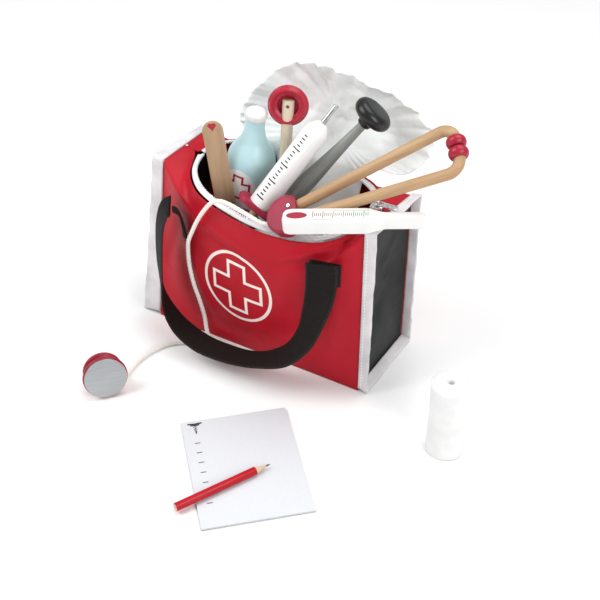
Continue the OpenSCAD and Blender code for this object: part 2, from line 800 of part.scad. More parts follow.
module bent_arm() {
    r = arm_d / 2;
    far = arm_bend_r + r + 1;
    translate([pivot_a, pivot_b, 0]) rotate([0, 0, arm_slope]) {
        difference() {
            translate([0.9 - r, 0, 0]) rotate([0, 90, 0]) cylinder(r = r, h = r - 0.9 + arm_straight);
            cylinder(d = pin_d + 2 * running, h = 20, center = true);
        }
        translate([arm_straight, -arm_bend_r, 0])
            intersection() {
                rotate_extrude() translate([arm_bend_r, 0]) circle(r = r);
                translate([0, 0, -far]) cube([far, far, 2 * far]);
            }
    }
}

// Where an arm's bend ends, on the back side
bend_end = [pivot_a, pivot_b]
    + arm_straight * [cos(arm_slope), sin(arm_slope)]
    + arm_bend_r * [cos(arm_slope) + sin(arm_slope), sin(arm_slope) - cos(arm_slope)];

module ear_tip() {
    r = tip_d / 2;
    b = bend_end[1] + 0.5;
    color(bright_red)
        translate([bend_end[0], b, 0]) rotate([90, 0, 0])
            rotate_extrude() polygon(concat([[0, 0], [arm_d / 2 + 0.8, 0]],
                [for (a = [-60:15:75]) [r - 3.4 + 3.4 * cos(a), tip_t / 2 + tip_t / 2 * sin(a)]],
                [[0, tip_t]]));
}

module stethoscope_arm_back() {
    color(beech) in_stethoscope() bent_arm();
}

module stethoscope_arm_front() {
    color(beech) in_stethoscope() mirror([0, 1, 0]) bent_arm();
}

module ear_tip_back() {
    in_stethoscope() ear_tip();
}

module ear_tip_front() {
    in_stethoscope() mirror([0, 1, 0]) ear_tip();
}

// The cord's route: out of the block, over the front rim, down the panel, along the
// foot of the bag and back under the handle, then over the floor to the chest piece
cord_route = [
    [28.4, -48, 153.4], [24.5, -50, 152.4], [20, -51.5, 153], [12, -52.5, 156], [1, -53.5, 160], [-10, -54, 163],
    [-20, -54, 163], [-28, -54, 158.5], [-35, -54, 150], [-43, -54.5, 137], [-49.5, -55.8, 122.7],
    [-54.2, -55.9, 111.2], [-57.5, -53, 98], [-58, -52, 81], [-55, -51.5, 61], [-50.5, -50, 42], [-47, -49, 24],
    [-45.5, -49, 9], [-42, -49.5, 2.6], [-34, -50, 2.1], [-21, -51, 2.1], [-6, -51, 2.1],
    [5, -52.5, 2.1], [10, -58, 2.1], [5, -63.5, 2.1], [-8, -65.5, 2.1], [-26, -66, 2.1],
    [-45, -67, 2.1], [-59, -70, 2.1], [-70, -80, 2.1], [-76.5, -95, 2.1], [-78.5, -110, 2.1],
    [-77.5, -124, 2.1], [-75, -135, 2.6], [-72.5, -143, 7.5], [-72.6, -148, 13.2],
];
cord_rings = 76;
cord_sides = 8;

module stethoscope_cord() {
    p = sampled(cord_route, cord_rings);
    side = carried(p, [0.3, 0.9, 0.3]);
    color(painted_white) skin([for (i = [0:len(p) - 1])
        let (t = tangent(p, i), x = side[i], y = cross(t, x))
        [for (k = [0:cord_sides - 1])
            let (a = 360 * (k + 0.5) / cord_sides)
            p[i] + cord_d / 2 * (cos(a) * x + sin(a) * y)]]);
}

// The chest piece stands on its two rims; its face looks to the front, a little up
chest_face = [0.757, -0.623, 0.176];
chest_l = 18;
chest_back_d = 35.6;
waist_d = 26;
face_t = 1.2;
chest_tilt = atan2(chest_face[2], norm([chest_face[0], chest_face[1]]));
chest_at = [-74, -163, chest_d / 2 * cos(chest_tilt) + 4.5 * sin(chest_tilt) + 0.02];

module in_chest_piece() {
    placed(chest_at, chest_face, [0, 0, 1]) children();
}

// Drawn with the face at z = 0 and the back of the spool at z = -chest_l
module chest_spool() {
    r = chest_d / 2;
    b = chest_back_d / 2;
    w = waist_d / 2;
    color(bright_red) in_chest_piece()
        rotate_extrude() polygon([[0, -face_t], [r - 1, -face_t], [r, -face_t - 1], [r, -4.5],
            [w, -8.5], [w, -11], [b, -13.5], [b, -chest_l + 1.5], [b - 1.5, -chest_l],
            [0, -chest_l]]);
}

module chest_disc() {
    color(steel_grey) in_chest_piece()
        translate([0, 0, -face_t]) cylinder(r = chest_d / 2 - 1, h = face_t);
}

// ---------- the paper goods ----------

pad_at = [78.5, -173.5];
pad_turn = 43;
board_t = 0.8;
sheets_t = 1.4;

module on_pad(z) {
    translate([pad_at[0], pad_at[1], z]) rotate([0, 0, pad_turn]) children();
}

module pad_board() {
    color(ribbon_grey) on_pad(0) translate([-pad_w / 2, -pad_l / 2, 0]) cube([pad_w, pad_l, board_t]);
}

module pad_sheets() {
    color(painted_white) on_pad(board_t)
        translate([-pad_w / 2, -pad_l / 2, 0]) cube([pad_w, pad_l, sheets_t]);
}

pencil_at = [58, -244];
pencil_turn = 63.3;
point_len = 14;
lead_len = 4;
pencil_lift = 0.1;

module in_pencil() {
    translate([pencil_at[0], pencil_at[1], board_t + sheets_t + pencil_lift + pencil_d / 2])
        rotate([0, 0, pencil_turn]) rotate([0, 90, 0]) children();
}

module pencil_body() {
    color(bright_red) in_pencil()
        rotate([0, 0, 30]) cylinder(d = pencil_d / cos(30), h = pencil_len - point_len, $fn = 6);
}

module pencil_point() {
    d = pencil_d - 0.2;
    color(beech) in_pencil()
        translate([0, 0, pencil_len - point_len])
            cylinder(d1 = d, d2 = d * lead_len / point_len, h = point_len - lead_len);
}

module pencil_lead() {
    d = pencil_d - 0.2;
    color(charcoal) in_pencil()
        translate([0, 0, pencil_len - lead_len]) cylinder(d1 = d * lead_len / point_len, d2 = 0.5, h = lead_len);
}

roll_at = [211, -69];
roll_hole_d = 5;

module bandage_roll() {
    r = roll_d / 2;
    h = roll_hole_d / 2;
    color(cloth_white) translate([roll_at[0], roll_at[1], 0])
        rotate_extrude() polygon([[h, 0], [r - 1, 0], [r, 1], [r - 0.6, roll_h / 2], [r, roll_h - 2.5],
            [r - 2.5, roll_h], [h + 1, roll_h], [h, roll_h - 1]]);
}

front_panel();
back_panel();
left_gusset();
right_gusset();
bag_bottom();
left_binding();
right_binding();
zipper_tape_front();
zipper_tape_back();
zipper_teeth_front();
zipper_teeth_back();
zipper_slider();
zipper_pull();
front_handle_tabs();
back_handle_tabs();
front_handle_strap();
back_handle_strap();
surgical_cap();
tongue_depressor();
bottle_body();
bottle_stopper();
bottle_label();
syringe_barrel();
syringe_flange();
syringe_needle();
syringe_rod();
syringe_knob();
hammer_handle();
hammer_collar();
hammer_head();
otoscope_handle();
otoscope_ring();
thermometer();
stethoscope_block();
stethoscope_pins();
stethoscope_arm_back();
stethoscope_arm_front();
ear_tip_back();
ear_tip_front();
stethoscope_cord();
chest_spool();
chest_disc();
pad_sheets();
pad_board();
pencil_body();
pencil_point();
pencil_lead();
bandage_roll();
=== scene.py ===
import bpy
import bmesh
import math
import numpy as np
from mathutils import Matrix, Vector, noise as ripple


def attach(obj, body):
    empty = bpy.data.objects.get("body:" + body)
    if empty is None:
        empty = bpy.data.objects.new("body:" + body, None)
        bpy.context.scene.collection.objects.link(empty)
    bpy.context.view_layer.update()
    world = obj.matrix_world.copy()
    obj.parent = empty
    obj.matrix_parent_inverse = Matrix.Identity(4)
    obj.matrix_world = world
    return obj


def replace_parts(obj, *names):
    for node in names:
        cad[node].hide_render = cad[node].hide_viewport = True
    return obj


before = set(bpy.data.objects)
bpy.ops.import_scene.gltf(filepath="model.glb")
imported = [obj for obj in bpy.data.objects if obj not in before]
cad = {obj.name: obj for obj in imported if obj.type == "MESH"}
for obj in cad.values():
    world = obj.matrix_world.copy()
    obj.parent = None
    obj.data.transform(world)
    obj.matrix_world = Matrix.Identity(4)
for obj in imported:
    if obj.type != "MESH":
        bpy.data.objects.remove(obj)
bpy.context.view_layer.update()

# ---------- Studio ----------
# A pale floor that runs off to white, a wide soft light from the left and above, a weaker
# one from the right, and the camera where the photograph was taken.
scene = bpy.context.scene
scene.view_settings.view_transform = "Standard"

camera_data = bpy.data.cameras.new("studio_camera")
camera_data.lens = 66.211
camera_data.sensor_width = 36
camera_data.clip_end = 20
camera = bpy.data.objects.new("studio_camera", camera_data)
scene.collection.objects.link(camera)
camera_at = (0.445792, -0.705176, 0.664934)
camera_right = Vector((0.8604602, 0.5095177, 0.0))
camera_up = Vector((-0.3088090, 0.5215085, 0.7954030))
camera_back = Vector((0.4052719, -0.6844126, 0.6060809))
camera_turn = Matrix((camera_right, camera_up, camera_back)).transposed().to_4x4()
camera.matrix_world = Matrix.Translation(camera_at) @ camera_turn
scene.camera = camera

world = bpy.data.worlds.new("studio_white")
world.use_nodes = True
world.node_tree.nodes["Background"].inputs["Color"].default_value = (1, 1, 1, 1)
world.node_tree.nodes["Background"].inputs["Strength"].default_value = 0.34
scene.world = world


def soft_light(name, place, aim, size, watts):
    data = bpy.data.lights.new(name, "AREA")
    data.size = size
    data.energy = watts
    lamp = bpy.data.objects.new(name, data)
    lamp.location = place
    lamp.rotation_euler = (Vector(aim) - Vector(place)).to_track_quat("-Z", "Y").to_euler()
    scene.collection.objects.link(lamp)


soft_light("softbox_left", (-0.95, -0.75, 1.25), (0, -0.05, 0.08), 1.1, 19.0)
soft_light("softbox_top", (0.25, 0.55, 1.7), (0, -0.05, 0.05), 1.3, 17.0)
soft_light("softbox_right", (1.35, -0.55, 0.95), (0, -0.05, 0.08), 0.9, 14.0)


def new_material(name, colour, roughness, shine=0.25, **more):
    material = bpy.data.materials.new(name)
    material.use_nodes = True
    shader = material.node_tree.nodes["Principled BSDF"]
    shader.inputs["Base Color"].default_value = (*colour, 1)
    shader.inputs["Roughness"].default_value = roughness
    shader.inputs["Specular IOR Level"].default_value = shine
    for key, value in more.items():
        shader.inputs[key.replace("_", " ").title()].default_value = value
    return material


class Amount:
    """A number that varies over a surface. Each sum with it adds a node to its material."""

    def __init__(self, material, socket):
        self.material = material
        self.socket = socket

    def calc(self, operation, *others):
        made = add(self.material, "Math", enumerate((self, *others)), operation=operation)
        return Amount(self.material, made.outputs[0])

    def __add__(self, other):
        return self.calc("ADD", other)

    def __sub__(self, other):
        return self.calc("SUBTRACT", other)

    def __mul__(self, other):
        return self.calc("MULTIPLY", other)

    def __truediv__(self, other):
        return self.calc("DIVIDE", other)

    def __lt__(self, other):
        return self.calc("LESS_THAN", other)

    def __gt__(self, other):
        return self.calc("GREATER_THAN", other)

    def __abs__(self):
        return self.calc("ABSOLUTE")

    def larger(self, other):
        return self.calc("MAXIMUM", other)

    def smaller(self, other):
        return self.calc("MINIMUM", other)


def add(material, kind, inputs=(), **settings):
    made = material.node_tree.nodes.new("ShaderNode" + kind)
    for key, value in settings.items():
        setattr(made, key, value)
    for key, value in dict(inputs).items():
        if isinstance(value, Amount):
            value = value.socket
        if isinstance(value, bpy.types.NodeSocket):
            material.node_tree.links.new(value, made.inputs[key])
        else:
            made.inputs[key].default_value = value
    return made


def own_place(material):
    return add(material, "TexCoord").outputs["Object"]


def cloudy(material, where, scale, detail=3.0, roughness=0.5, distortion=0.0):
    made = add(material, "TexNoise", {"Vector": where, "Scale": scale, "Detail": detail,
                                      "Roughness": roughness, "Distortion": distortion})
    return Amount(material, made.outputs[0])


def shades(amount, *stops):
    """Colours that follow an amount, from stop to stop."""
    ramp = add(amount.material, "ValToRGB", {0: amount})
    ends = ramp.color_ramp.elements
    while len(ends) < len(stops):
        ends.new(0.5)
    for end, (place, colour) in zip(ends, stops):
        end.position = place
        end.color = (*colour, 1)
    return ramp.outputs[0]


def dress(material, colour, normal=None, roughness=None):
    """Gives the surface its worked-out colour, relief and roughness."""
    shader = material.node_tree.nodes["Principled BSDF"]
    for name, value in (("Base Color", colour), ("Roughness", roughness), ("Normal", normal)):
        if value is not None:
            material.node_tree.links.new(getattr(value, "socket", value), shader.inputs[name])


bpy.ops.object.select_all(action="DESELECT")
bpy.ops.mesh.primitive_plane_add(size=7, location=(0, 1.2, -0.0003))
floor = bpy.context.object
floor.name = "studio_floor"
floor_white = new_material("floor_white", (0.93, 0.93, 0.93), 0.75)
dress(floor_white, shades(cloudy(floor_white, own_place(floor_white), 2.0),
                          (0.3, (0.925, 0.925, 0.925)), (0.7, (0.94, 0.94, 0.94))))
floor.data.materials.append(floor_white)

# ---------- Stethoscope cord ----------
# A soft cotton cord, braided round, 4 mm thick. It is knotted inside the wooden block,
# runs over the front of the bag and under the handle, and ends in the chest piece's waist.
cord_radius, cord_step, cord_sides = 0.002, 0.0009, 14
strands, strand_twist = 3, 1500     # twist in radians a metre
cord_route = [
    (28.4, -48, 153.4), (24.5, -50, 152.4), (20, -51.5, 153), (12, -52.5, 156), (1, -53.5, 160),
    (-10, -54, 163), (-20, -54, 163), (-28, -54, 158.5), (-35, -54, 150), (-43, -54.5, 137),
    (-49.5, -55.8, 122.7), (-54.2, -55.9, 111.2), (-57.5, -53, 98), (-58, -52, 81),
    (-55, -51.5, 61), (-50.5, -50, 42), (-47, -49, 24), (-45.5, -49, 9), (-42, -49.5, 2.6),
    (-34, -50, 2.1), (-21, -51, 2.1), (-6, -51, 2.1), (5, -52.5, 2.1), (10, -58, 2.1),
    (5, -63.5, 2.1), (-8, -65.5, 2.1), (-26, -66, 2.1), (-45, -67, 2.1), (-59, -70, 2.1),
    (-70, -80, 2.1), (-76.5, -95, 2.1), (-78.5, -110, 2.1), (-77.5, -124, 2.1),
    (-75, -135, 2.6), (-72.5, -143, 7.5), (-72.6, -148, 13.2),
]


def through(points, count):
    """A smooth line through the points."""
    p = np.array(points, dtype=float)
    last = len(p) - 1
    u = np.clip(np.linspace(0, 1, count + 1) * last, 0, last - 1e-5)
    i = np.floor(u).astype(int)
    t = (u - i)[:, None]
    a, b, c, d = p[np.maximum(i - 1, 0)], p[i], p[i + 1], p[np.minimum(i + 2, last)]
    return 0.5 * (2 * b + (c - a) * t + (2 * a - 5 * b + 4 * c - d) * t * t
                  + (3 * b - a - 3 * c + d) * t ** 3)


def travelled(line):
    """How far each point lies along the line, or along each line of a grid."""
    steps = np.linalg.norm(np.diff(line, axis=0), axis=-1)
    return np.concatenate([np.zeros_like(steps[:1]), np.cumsum(steps, axis=0)])


def even(line, step):
    """The same line with its points one step apart, and its length."""
    far = travelled(line)
    count = max(2, int(round(far[-1] / step)))
    at = np.linspace(0, far[-1], count + 1)
    return np.stack([np.interp(at, far, line[:, k]) for k in range(3)], axis=1), far[-1]


def unit(v):
    v = np.asarray(v, dtype=float)
    return v / np.linalg.norm(v, axis=-1, keepdims=True)


def directions(line):
    return unit(np.gradient(line, axis=0))


def carried(line, first):
    """A side direction at each point that follows the line without a twist."""
    out, side = [], np.array(first, dtype=float)
    for t in directions(line):
        side = unit(side - t * side.dot(t))
        out.append(side)
    return np.array(out)


def sleeve(rings, sides, first=0, closed=False):
    """Faces round a line of rings, capped at its ends unless it closes on itself."""
    faces = []
    for i in range(rings if closed else rings - 1):
        here, there = first + i * sides, first + (i + 1) % rings * sides
        for k in range(sides):
            n = (k + 1) % sides
            faces.append((here + k, here + n, there + n, there + k))
    if not closed:
        end = first + (rings - 1) * sides
        faces.append(tuple(range(first, first + sides))[::-1])
        faces.append(tuple(range(end, end + sides)))
    return faces


def new_piece(name, points, faces, uv=None, material=None, smooth=True):
    mesh = bpy.data.meshes.new(name)
    mesh.from_pydata([tuple(p) for p in points], [], faces)
    if uv is not None:
        layer = mesh.uv_layers.new(name="cloth")
        corners = np.empty(len(mesh.loops), dtype=np.int32)
        mesh.loops.foreach_get("vertex_index", corners)
        layer.data.foreach_set("uv", np.asarray(uv, dtype=np.float32)[corners].ravel())
    mesh.polygons.foreach_set("use_smooth", [smooth] * len(mesh.polygons))
    piece = bpy.data.objects.new(name, mesh)
    scene.collection.objects.link(piece)
    if material:
        mesh.materials.append(material)
    return piece


def relief(height, strength, depth, under=None):
    """Raised and sunk detail, laid over the relief under it."""
    inputs = {"Height": height, "Strength": strength, "Distance": depth}
    if under is not None:
        inputs["Normal"] = under
    return add(height.material, "Bump", inputs).outputs[0]


cord_line, cord_length = even(through(cord_route, 1400) / 1000, cord_step)
cord_a = carried(cord_line, (0.3, 0.9, 0.3))
cord_b = np.cross(directions(cord_line), cord_a)
cord_points, cord_uv = [], []
for i, p in enumerate(cord_line):
    along = i * cord_step
    for k in range(cord_sides):
        turn = 2 * math.pi * k / cord_sides
        strand = 0.5 + 0.5 * math.cos(strands * turn - along * strand_twist)
        r = cord_radius * (0.86 + 0.14 * strand)
        cord_points.append(p + r * (math.cos(turn) * cord_a[i] + math.sin(turn) * cord_b[i]))
        cord_uv.append((along, turn / (2 * math.pi)))

cotton = new_material("cream_cotton", (0.86, 0.82, 0.76), 0.85, sheen_weight=0.3)
cotton_fuzz = cloudy(cotton, own_place(cotton), 1800, 2)
dress(cotton, shades(cotton_fuzz, (0.3, (0.74, 0.69, 0.63)), (0.62, (0.92, 0.89, 0.84))),
      relief(cotton_fuzz, 0.5, 0.0004))
braid = new_piece("stethoscope_cord_braid", cord_points, sleeve(len(cord_line), cord_sides),
                  cord_uv, cotton)
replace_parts(braid, "stethoscope_cord")
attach(braid, "bag")

# ---------- Front and back panels ----------
# Sheets of red polyurethane-coated cloth, soft and semi-gloss, cut tall enough to turn in at
# the top, where the zipper's tape is sewn on. They sag between the gussets' stiff seams, and
# the front one carries a screen print of a ring and an outlined cross.
front_left = np.array([(-104, -43.5, 0), (-99, -25, 165)], dtype=float)
front_right = np.array([(114, -43.5, 0), (109, -33, 163)], dtype=float)
back_left = np.array([(-104, 43.5, 0), (-98, 44, 165)], dtype=float)
back_right = np.array([(114, 43.5, 0), (116, 42, 162)], dtype=float)
top_left = (front_left[1] + back_left[1]) / 2
top_right = (front_right[1] + back_right[1]) / 2
mouth_left = np.array((-86.0, 7, 162))
mouth_right = np.array((100.0, 2, 162))
meet = np.array((0, 1.8, 0))
front_rim = np.array([
    top_left - meet, mouth_left - meet, (-76, -19, 157), (-59, -37, 154), (-39, -46, 150.5),
    (-17, -50, 147), (6, -52, 144), (30, -51, 142), (54, -47, 142), (75, -39, 145),
    (92, -26, 153), mouth_right - meet, top_right - meet])
back_rim = np.array([
    top_left + meet, mouth_left + meet, (-79, 26, 164), (-66, 38, 166), (-46, 46, 167),
    (-24, 50, 167), (5, 51, 166), (34, 50, 165), (60, 46, 164), (82, 38, 163), (95, 24, 162),
    mouth_right + meet, top_right + meet])
front_fold = np.array([front_left[1], (-72, -40, 146), (-36, -49, 128), (5, -54, 118),
                       (45, -53, 116), (82, -46, 130), front_right[1]])
back_fold = np.array([back_left[1], (-64, 55, 152), (-29, 59, 146), (6, 60, 144), (42, 59, 146),
                      (78, 54, 152), back_right[1]])
panel_cols, panel_rows = 168, 110
fold_at, panel_bulge, panel_thick = 0.75, 4, 1.6
side_hold, foot_hold, rim_hold = 0.04, 0.06, 0.05     # shares of a panel that its seams hold flat
# soft ridges, and hollows where the height is below 0: x and z of both ends, width, height
front_creases = [
    (40, 122, 104, 152, 5.5, 2.6), (30, 112, 100, 138, 6, -2.2), (-55, 132, 20, 118, 6, 1.6),
    (-60, 118, 0, 108, 8, -1.4), (-70, 128, -96, 60, 7, -1.8), (-62, 100, -38, 30, 7, 1.6),
    (-74, 100, -56, 20, 8, -1.5), (60, 108, 40, 40, 9, -1.0), (92, 120, 84, 20, 8, 1.2)]
back_creases = [
    (-90, 150, -20, 132, 6, -1.6), (20, 130, 100, 148, 6, -1.6), (-60, 110, -88, 20, 9, 1.6),
    (70, 110, 92, 24, 9, 1.5), (-20, 90, 24, 30, 12, -1.4)]
# the screen print, in metres on the cloth
print_x, print_y = -0.0060, 0.0765
print_ring, print_cross, print_arm, print_corner = 0.0357, 0.0258, 0.0090, 0.001
print_line, print_blur = 0.0015, 0.00015


def crease(x, z, x0, z0, x1, z1, wide, high):
    """Height of a soft ridge that runs between two points and dies out at both."""
    dx, dz = x1 - x0, z1 - z0
    f = np.clip(((x - x0) * dx + (z - z0) * dz) / (dx * dx + dz * dz), 0, 1)
    off = np.hypot(x - x0 - f * dx, z - z0 - f * dz)
    return high * np.sin(np.pi * f) ** 0.6 * np.exp(-(off / wide) ** 2)


def creased(x, z, creases):
    return sum(crease(x, z, *sizes) for sizes in creases)


def panel_grid(foot, fold, rim, side):
    s = np.linspace(0, 1, panel_cols + 1)
    fold_line, rim_top = through(fold, panel_cols), through(rim, panel_cols)
    foot_line = foot[0] + (foot[1] - foot[0]) * s[:, None]
    rows = []
    for t in np.linspace(0, 1, panel_rows + 1):
        if t < fold_at:
            f = t / fold_at
            p = foot_line + (fold_line - foot_line) * f
            p[:, 1] += side * panel_bulge * math.sin(math.pi * f) * np.sin(np.pi * s)
        else:
            p = fold_line + (rim_top - fold_line) * ((t - fold_at) / (1 - fold_at))
        rows.append(p)
    grid = np.array(rows).transpose(1, 0, 2)
    for again in range(3):
        inner = grid.copy()
        inner[:, 1:-1] = 0.25 * grid[:, :-2] + 0.5 * grid[:, 1:-1] + 0.25 * grid[:, 2:]
        grid = inner
    return grid


def outward(grid):
    return unit(np.cross(np.gradient(grid, axis=0), np.gradient(grid, axis=1)))


def cloth_piece(name, grid, thick, material, level=False):
    """A closed sheet of that thickness: grid is its outer face, and its inner one lies behind.
    Its map follows the cloth, or runs level across the bag, as a print does."""
    m, n = grid.shape[:2]
    inner = grid - outward(grid) * thick
    points = np.concatenate([grid.reshape(-1, 3), inner.reshape(-1, 3)]) / 1000
    u = grid[..., 0] if level else travelled(grid)
    v = travelled(grid.transpose(1, 0, 2)).T
    uv = np.stack([u, v], axis=-1).reshape(-1, 2) / 1000
    half = m * n
    faces = []
    for i in range(m - 1):
        for j in range(n - 1):
            a, b, c, d = i * n + j, (i + 1) * n + j, (i + 1) * n + j + 1, i * n + j + 1
            faces += [(a, b, c, d), (half + a, half + d, half + c, half + b)]
    last = (m - 1) * n
    border = [(j, j + 1) for j in range(n - 1)] + [(last + j + 1, last + j) for j in range(n - 1)]
    for i in range(m - 1):
        border += [((i + 1) * n, i * n), (i * n + n - 1, (i + 1) * n + n - 1)]
    faces += [(a, b, half + b, half + a) for a, b in border]
    return new_piece(name, points, faces, np.concatenate([uv, uv]), material)


def cloth_map(material):
    return add(material, "UVMap", uv_map="cloth").outputs[0]


def axes(material, vector):
    return [Amount(material, part) for part in add(material, "SeparateXYZ", {0: vector}).outputs]


def far_from(x, y):
    return (x * x + y * y).calc("SQRT")


def fade(amount, low, high, at_low=1.0, at_high=0.0):
    """at_low where the amount is below low, at_high where it is above high."""
    made = add(amount.material, "MapRange", {0: amount, 1: low, 2: high, 3: at_low, 4: at_high})
    return Amount(amount.material, made.outputs[0])


def printed(under, ink, mask):
    """Ink over a ground, where the mask is 1."""
    ground, top = [(*c, 1) if isinstance(c, tuple) else c for c in (under, ink)]
    return add(mask.material, "MixRGB", {0: mask, 1: ground, 2: top}).outputs[0]


def cross_outline(x, y, half, arm, corner=0.0):
    """Distance from the outline of a cross that reaches half each way on arms 2 x arm wide."""
    across, up = abs(x), abs(y)
    upright = (across - arm).larger(up - half)
    level = (across - half).larger(up - arm)
    return abs(upright.calc("SMOOTH_MIN", level, corner))


def vinyl(name, print_here):
    skin = new_material(name, (0.42, 0.010, 0.020), 0.36, 0.12)
    place = own_place(skin)
    red = shades(cloudy(skin, place, 16, 3, 0.55), (0.3, (0.40, 0.008, 0.018)),
                 (0.7, (0.49, 0.012, 0.026)))
    grain = cloudy(skin, place, 900, 3, 0.6)
    weave = Amount(skin, add(skin, "TexVoronoi", {"Vector": place, "Scale": 1100.0}).outputs[0])
    sag = cloudy(skin, place, 26, 2, 0.5)
    bumps = relief(grain, 0.10, 0.0003, relief(weave, 0.08, 0.0002, relief(sag, 0.30, 0.006)))
    rough = cloudy(skin, place, 60, 4) * 0.16 + 0.27
    if print_here:
        u, v, _ = axes(skin, cloth_map(skin))
        x, y = u - print_x, v - print_y
        ring = abs(far_from(x, y) - print_ring)
        cross = cross_outline(x, y, print_cross, print_arm, print_corner)
        ink = fade(ring.smaller(cross), print_line - print_blur, print_line + print_blur)
        worn = ink * fade(cloudy(skin, place, 700, 2), 0.25, 0.4, 0.8, 1.0)
        red = printed(red, (0.90, 0.80, 0.74), worn)
        rough = ink * 0.12 + rough
        bumps = relief(ink, 0.4, 0.0001, bumps)
    dress(skin, red, bumps, rough)
    return skin


across, up = np.linspace(0, 1, panel_cols + 1), np.linspace(0, 1, panel_rows + 1)
hold = np.outer(np.clip(np.minimum(across, 1 - across) / side_hold, 0, 1),
                np.clip(up / foot_hold, 0, 1) * np.clip((1 - up) / rim_hold, 0, 1))
front_grid = panel_grid((front_left[0], front_right[0]), front_fold, front_rim, -1)
x, z = front_grid[..., 0], front_grid[..., 2]
front_out = (creased(x, z, front_creases)
             + 0.5 * np.sin(x / 17 + z / 31) * np.sin(z / 23 - x / 41))
front_grid = front_grid + outward(front_grid) * (front_out * hold)[..., None]
front_vinyl = cloth_piece("front_panel_vinyl", front_grid, panel_thick,
                          vinyl("red_vinyl_printed", True), True)
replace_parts(front_vinyl, "front_panel")
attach(front_vinyl, "bag")

back_grid = panel_grid((back_left[0], back_right[0]), back_fold, back_rim, 1)[::-1]
x, z = back_grid[..., 0], back_grid[..., 2]
back_out = (creased(x, z, back_creases)
            + 0.6 * np.sin(x / 19 - z / 29) * np.sin(z / 21 + x / 37))
back_grid = back_grid + outward(back_grid) * (back_out * hold)[..., None]
back_vinyl = cloth_piece("back_panel_vinyl", back_grid, panel_thick,
                         vinyl("red_vinyl_plain", False), True)
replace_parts(back_vinyl, "back_panel")
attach(back_vinyl, "bag")

# ---------- Gussets and bottom ----------
# The two ends and the bottom are cut from charcoal coated cloth, thinner than the red one,
# and sewn between the panels. The ends are drawn in by the full bag's soft corners.
bag_deep, bag_high = 87, 165
beside_panel, above_floor, drawn_in = 1.9, 2.2, 6
gusset_thick, floor_thick = 1.2, 0.9
gusset_creases = [(-22, 150, 14, 90, 7, 2.4), (30, 140, -4, 84, 7, -2.2),
                  (-26, 20, 10, 76, 8, 2.0), (30, 14, 2, 60, 7, -1.6)]
floor_left, floor_right, floor_side, floor_at = -103.5, 113.5, 41.4, 1.4

charcoal = new_material("charcoal_coated_cloth", (0.024, 0.026, 0.026), 0.45, 0.12)
charcoal_place = own_place(charcoal)
charcoal_grain = cloudy(charcoal, charcoal_place, 1000, 3, 0.6)
charcoal_sag = cloudy(charcoal, charcoal_place, 24, 3, 0.5)
dress(charcoal, shades(cloudy(charcoal, charcoal_place, 22, 4),
                       (0.3, (0.014, 0.015, 0.015)), (0.7, (0.032, 0.033, 0.032))),
      relief(charcoal_grain, 0.16, 0.0003, relief(charcoal_sag, 0.35, 0.006)),
      cloudy(charcoal, charcoal_place, 45, 4) * 0.22 + 0.34)


def gusset_grid(front, back, side):
    share = np.linspace(0, 1, 61)
    q = (beside_panel + (bag_deep - 2 * beside_panel) * share) / bag_deep
    u = (above_floor + (bag_high - 1.5 * beside_panel - above_floor) * share) / bag_high
    at_front = front[0] + (front[1] - front[0]) * u[:, None]
    at_back = back[0] + (back[1] - back[0]) * u[:, None]
    grid = at_front[None] + (at_back - at_front)[None] * q[:, None, None]
    pull = np.outer(np.sin(np.pi * share), np.sin(np.pi * share))
    soft = creased(grid[..., 1], grid[..., 2], gusset_creases)
    grid[..., 0] -= side * (drawn_in * pull + soft * np.sqrt(pull))
    return grid


left_gusset = cloth_piece("left_gusset_cloth", gusset_grid(front_left, back_left, -1)[::-1],
                          gusset_thick, charcoal)
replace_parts(left_gusset, "left_gusset")
right_gusset = cloth_piece("right_gusset_cloth", gusset_grid(front_right, back_right, 1),
                           gusset_thick, charcoal)
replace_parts(right_gusset, "right_gusset")
floor_x, floor_y = np.meshgrid(np.linspace(floor_left, floor_right, 60),
                               np.linspace(floor_side, -floor_side, 30), indexing="ij")
floor_flat = np.clip((floor_side - abs(floor_y)) / 10, 0, 1)
floor_z = floor_at + 0.5 * np.sin(floor_x / 22) * np.sin(floor_y / 15) * floor_flat
bag_floor = cloth_piece("bag_bottom_cloth", np.stack([floor_x, floor_y, floor_z], axis=-1)[::-1],
                        floor_thick, charcoal)
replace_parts(bag_floor, "bag_bottom")
for piece in (left_gusset, right_gusset, bag_floor):
    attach(piece, "bag")

# ---------- Bound seams ----------
# White grosgrain ribbon, folded over the raw edges of the seams round each gusset and sewn
# down with one row of stitches, so that it stands out and puckers a little.
ribbon_rows, ribbon_along = 9, 90
fold_thick, edge_thinner, ribbon_inset = 1.15, 0.55, 0.8
wave_size, wave_high, ripple_high, pucker = 0.06, 1.5, 0.5, 1.2
# each corner is given twice: on the seam, and at the ribbon's free edge
left_corners = [((-104.5, -43.5, 5), (-124.5, -43, 1.6)), ((-99.5, -25, 165), (-112, -24, 166)),
                ((-98.5, 44, 165), (-108, 44, 166)), ((-104.5, 43.5, 5), (-124.5, 43, 1.6))]
right_corners = [((114.5, -43.5, 5), (124.5, -43, 1.6)), ((109.5, -33, 163), (121, -31, 164)),
                 ((116.5, 42, 162), (125.5, 43, 163)), ((114.5, 43.5, 5), (124.5, 43, 1.6))]


def bands(material, where, scale, direction, distortion=0.0, detail=2.0):
    """The ribs or threads of a woven band, or the fine rings of turned metal."""
    made = add(material, "TexWave", {"Vector": where, "Scale": scale, "Distortion": distortion,
                                     "Detail": detail}, bands_direction=direction)
    return Amount(material, made.outputs[0])


def sewn_row(material, where, from_edge, per_metre):
    """A row of machine stitches along a band of cloth."""
    along, across, _ = axes(material, where)
    return across.calc("COMPARE", from_edge, 0.0004) * ((along * per_metre).calc("FRACT") > 0.3)


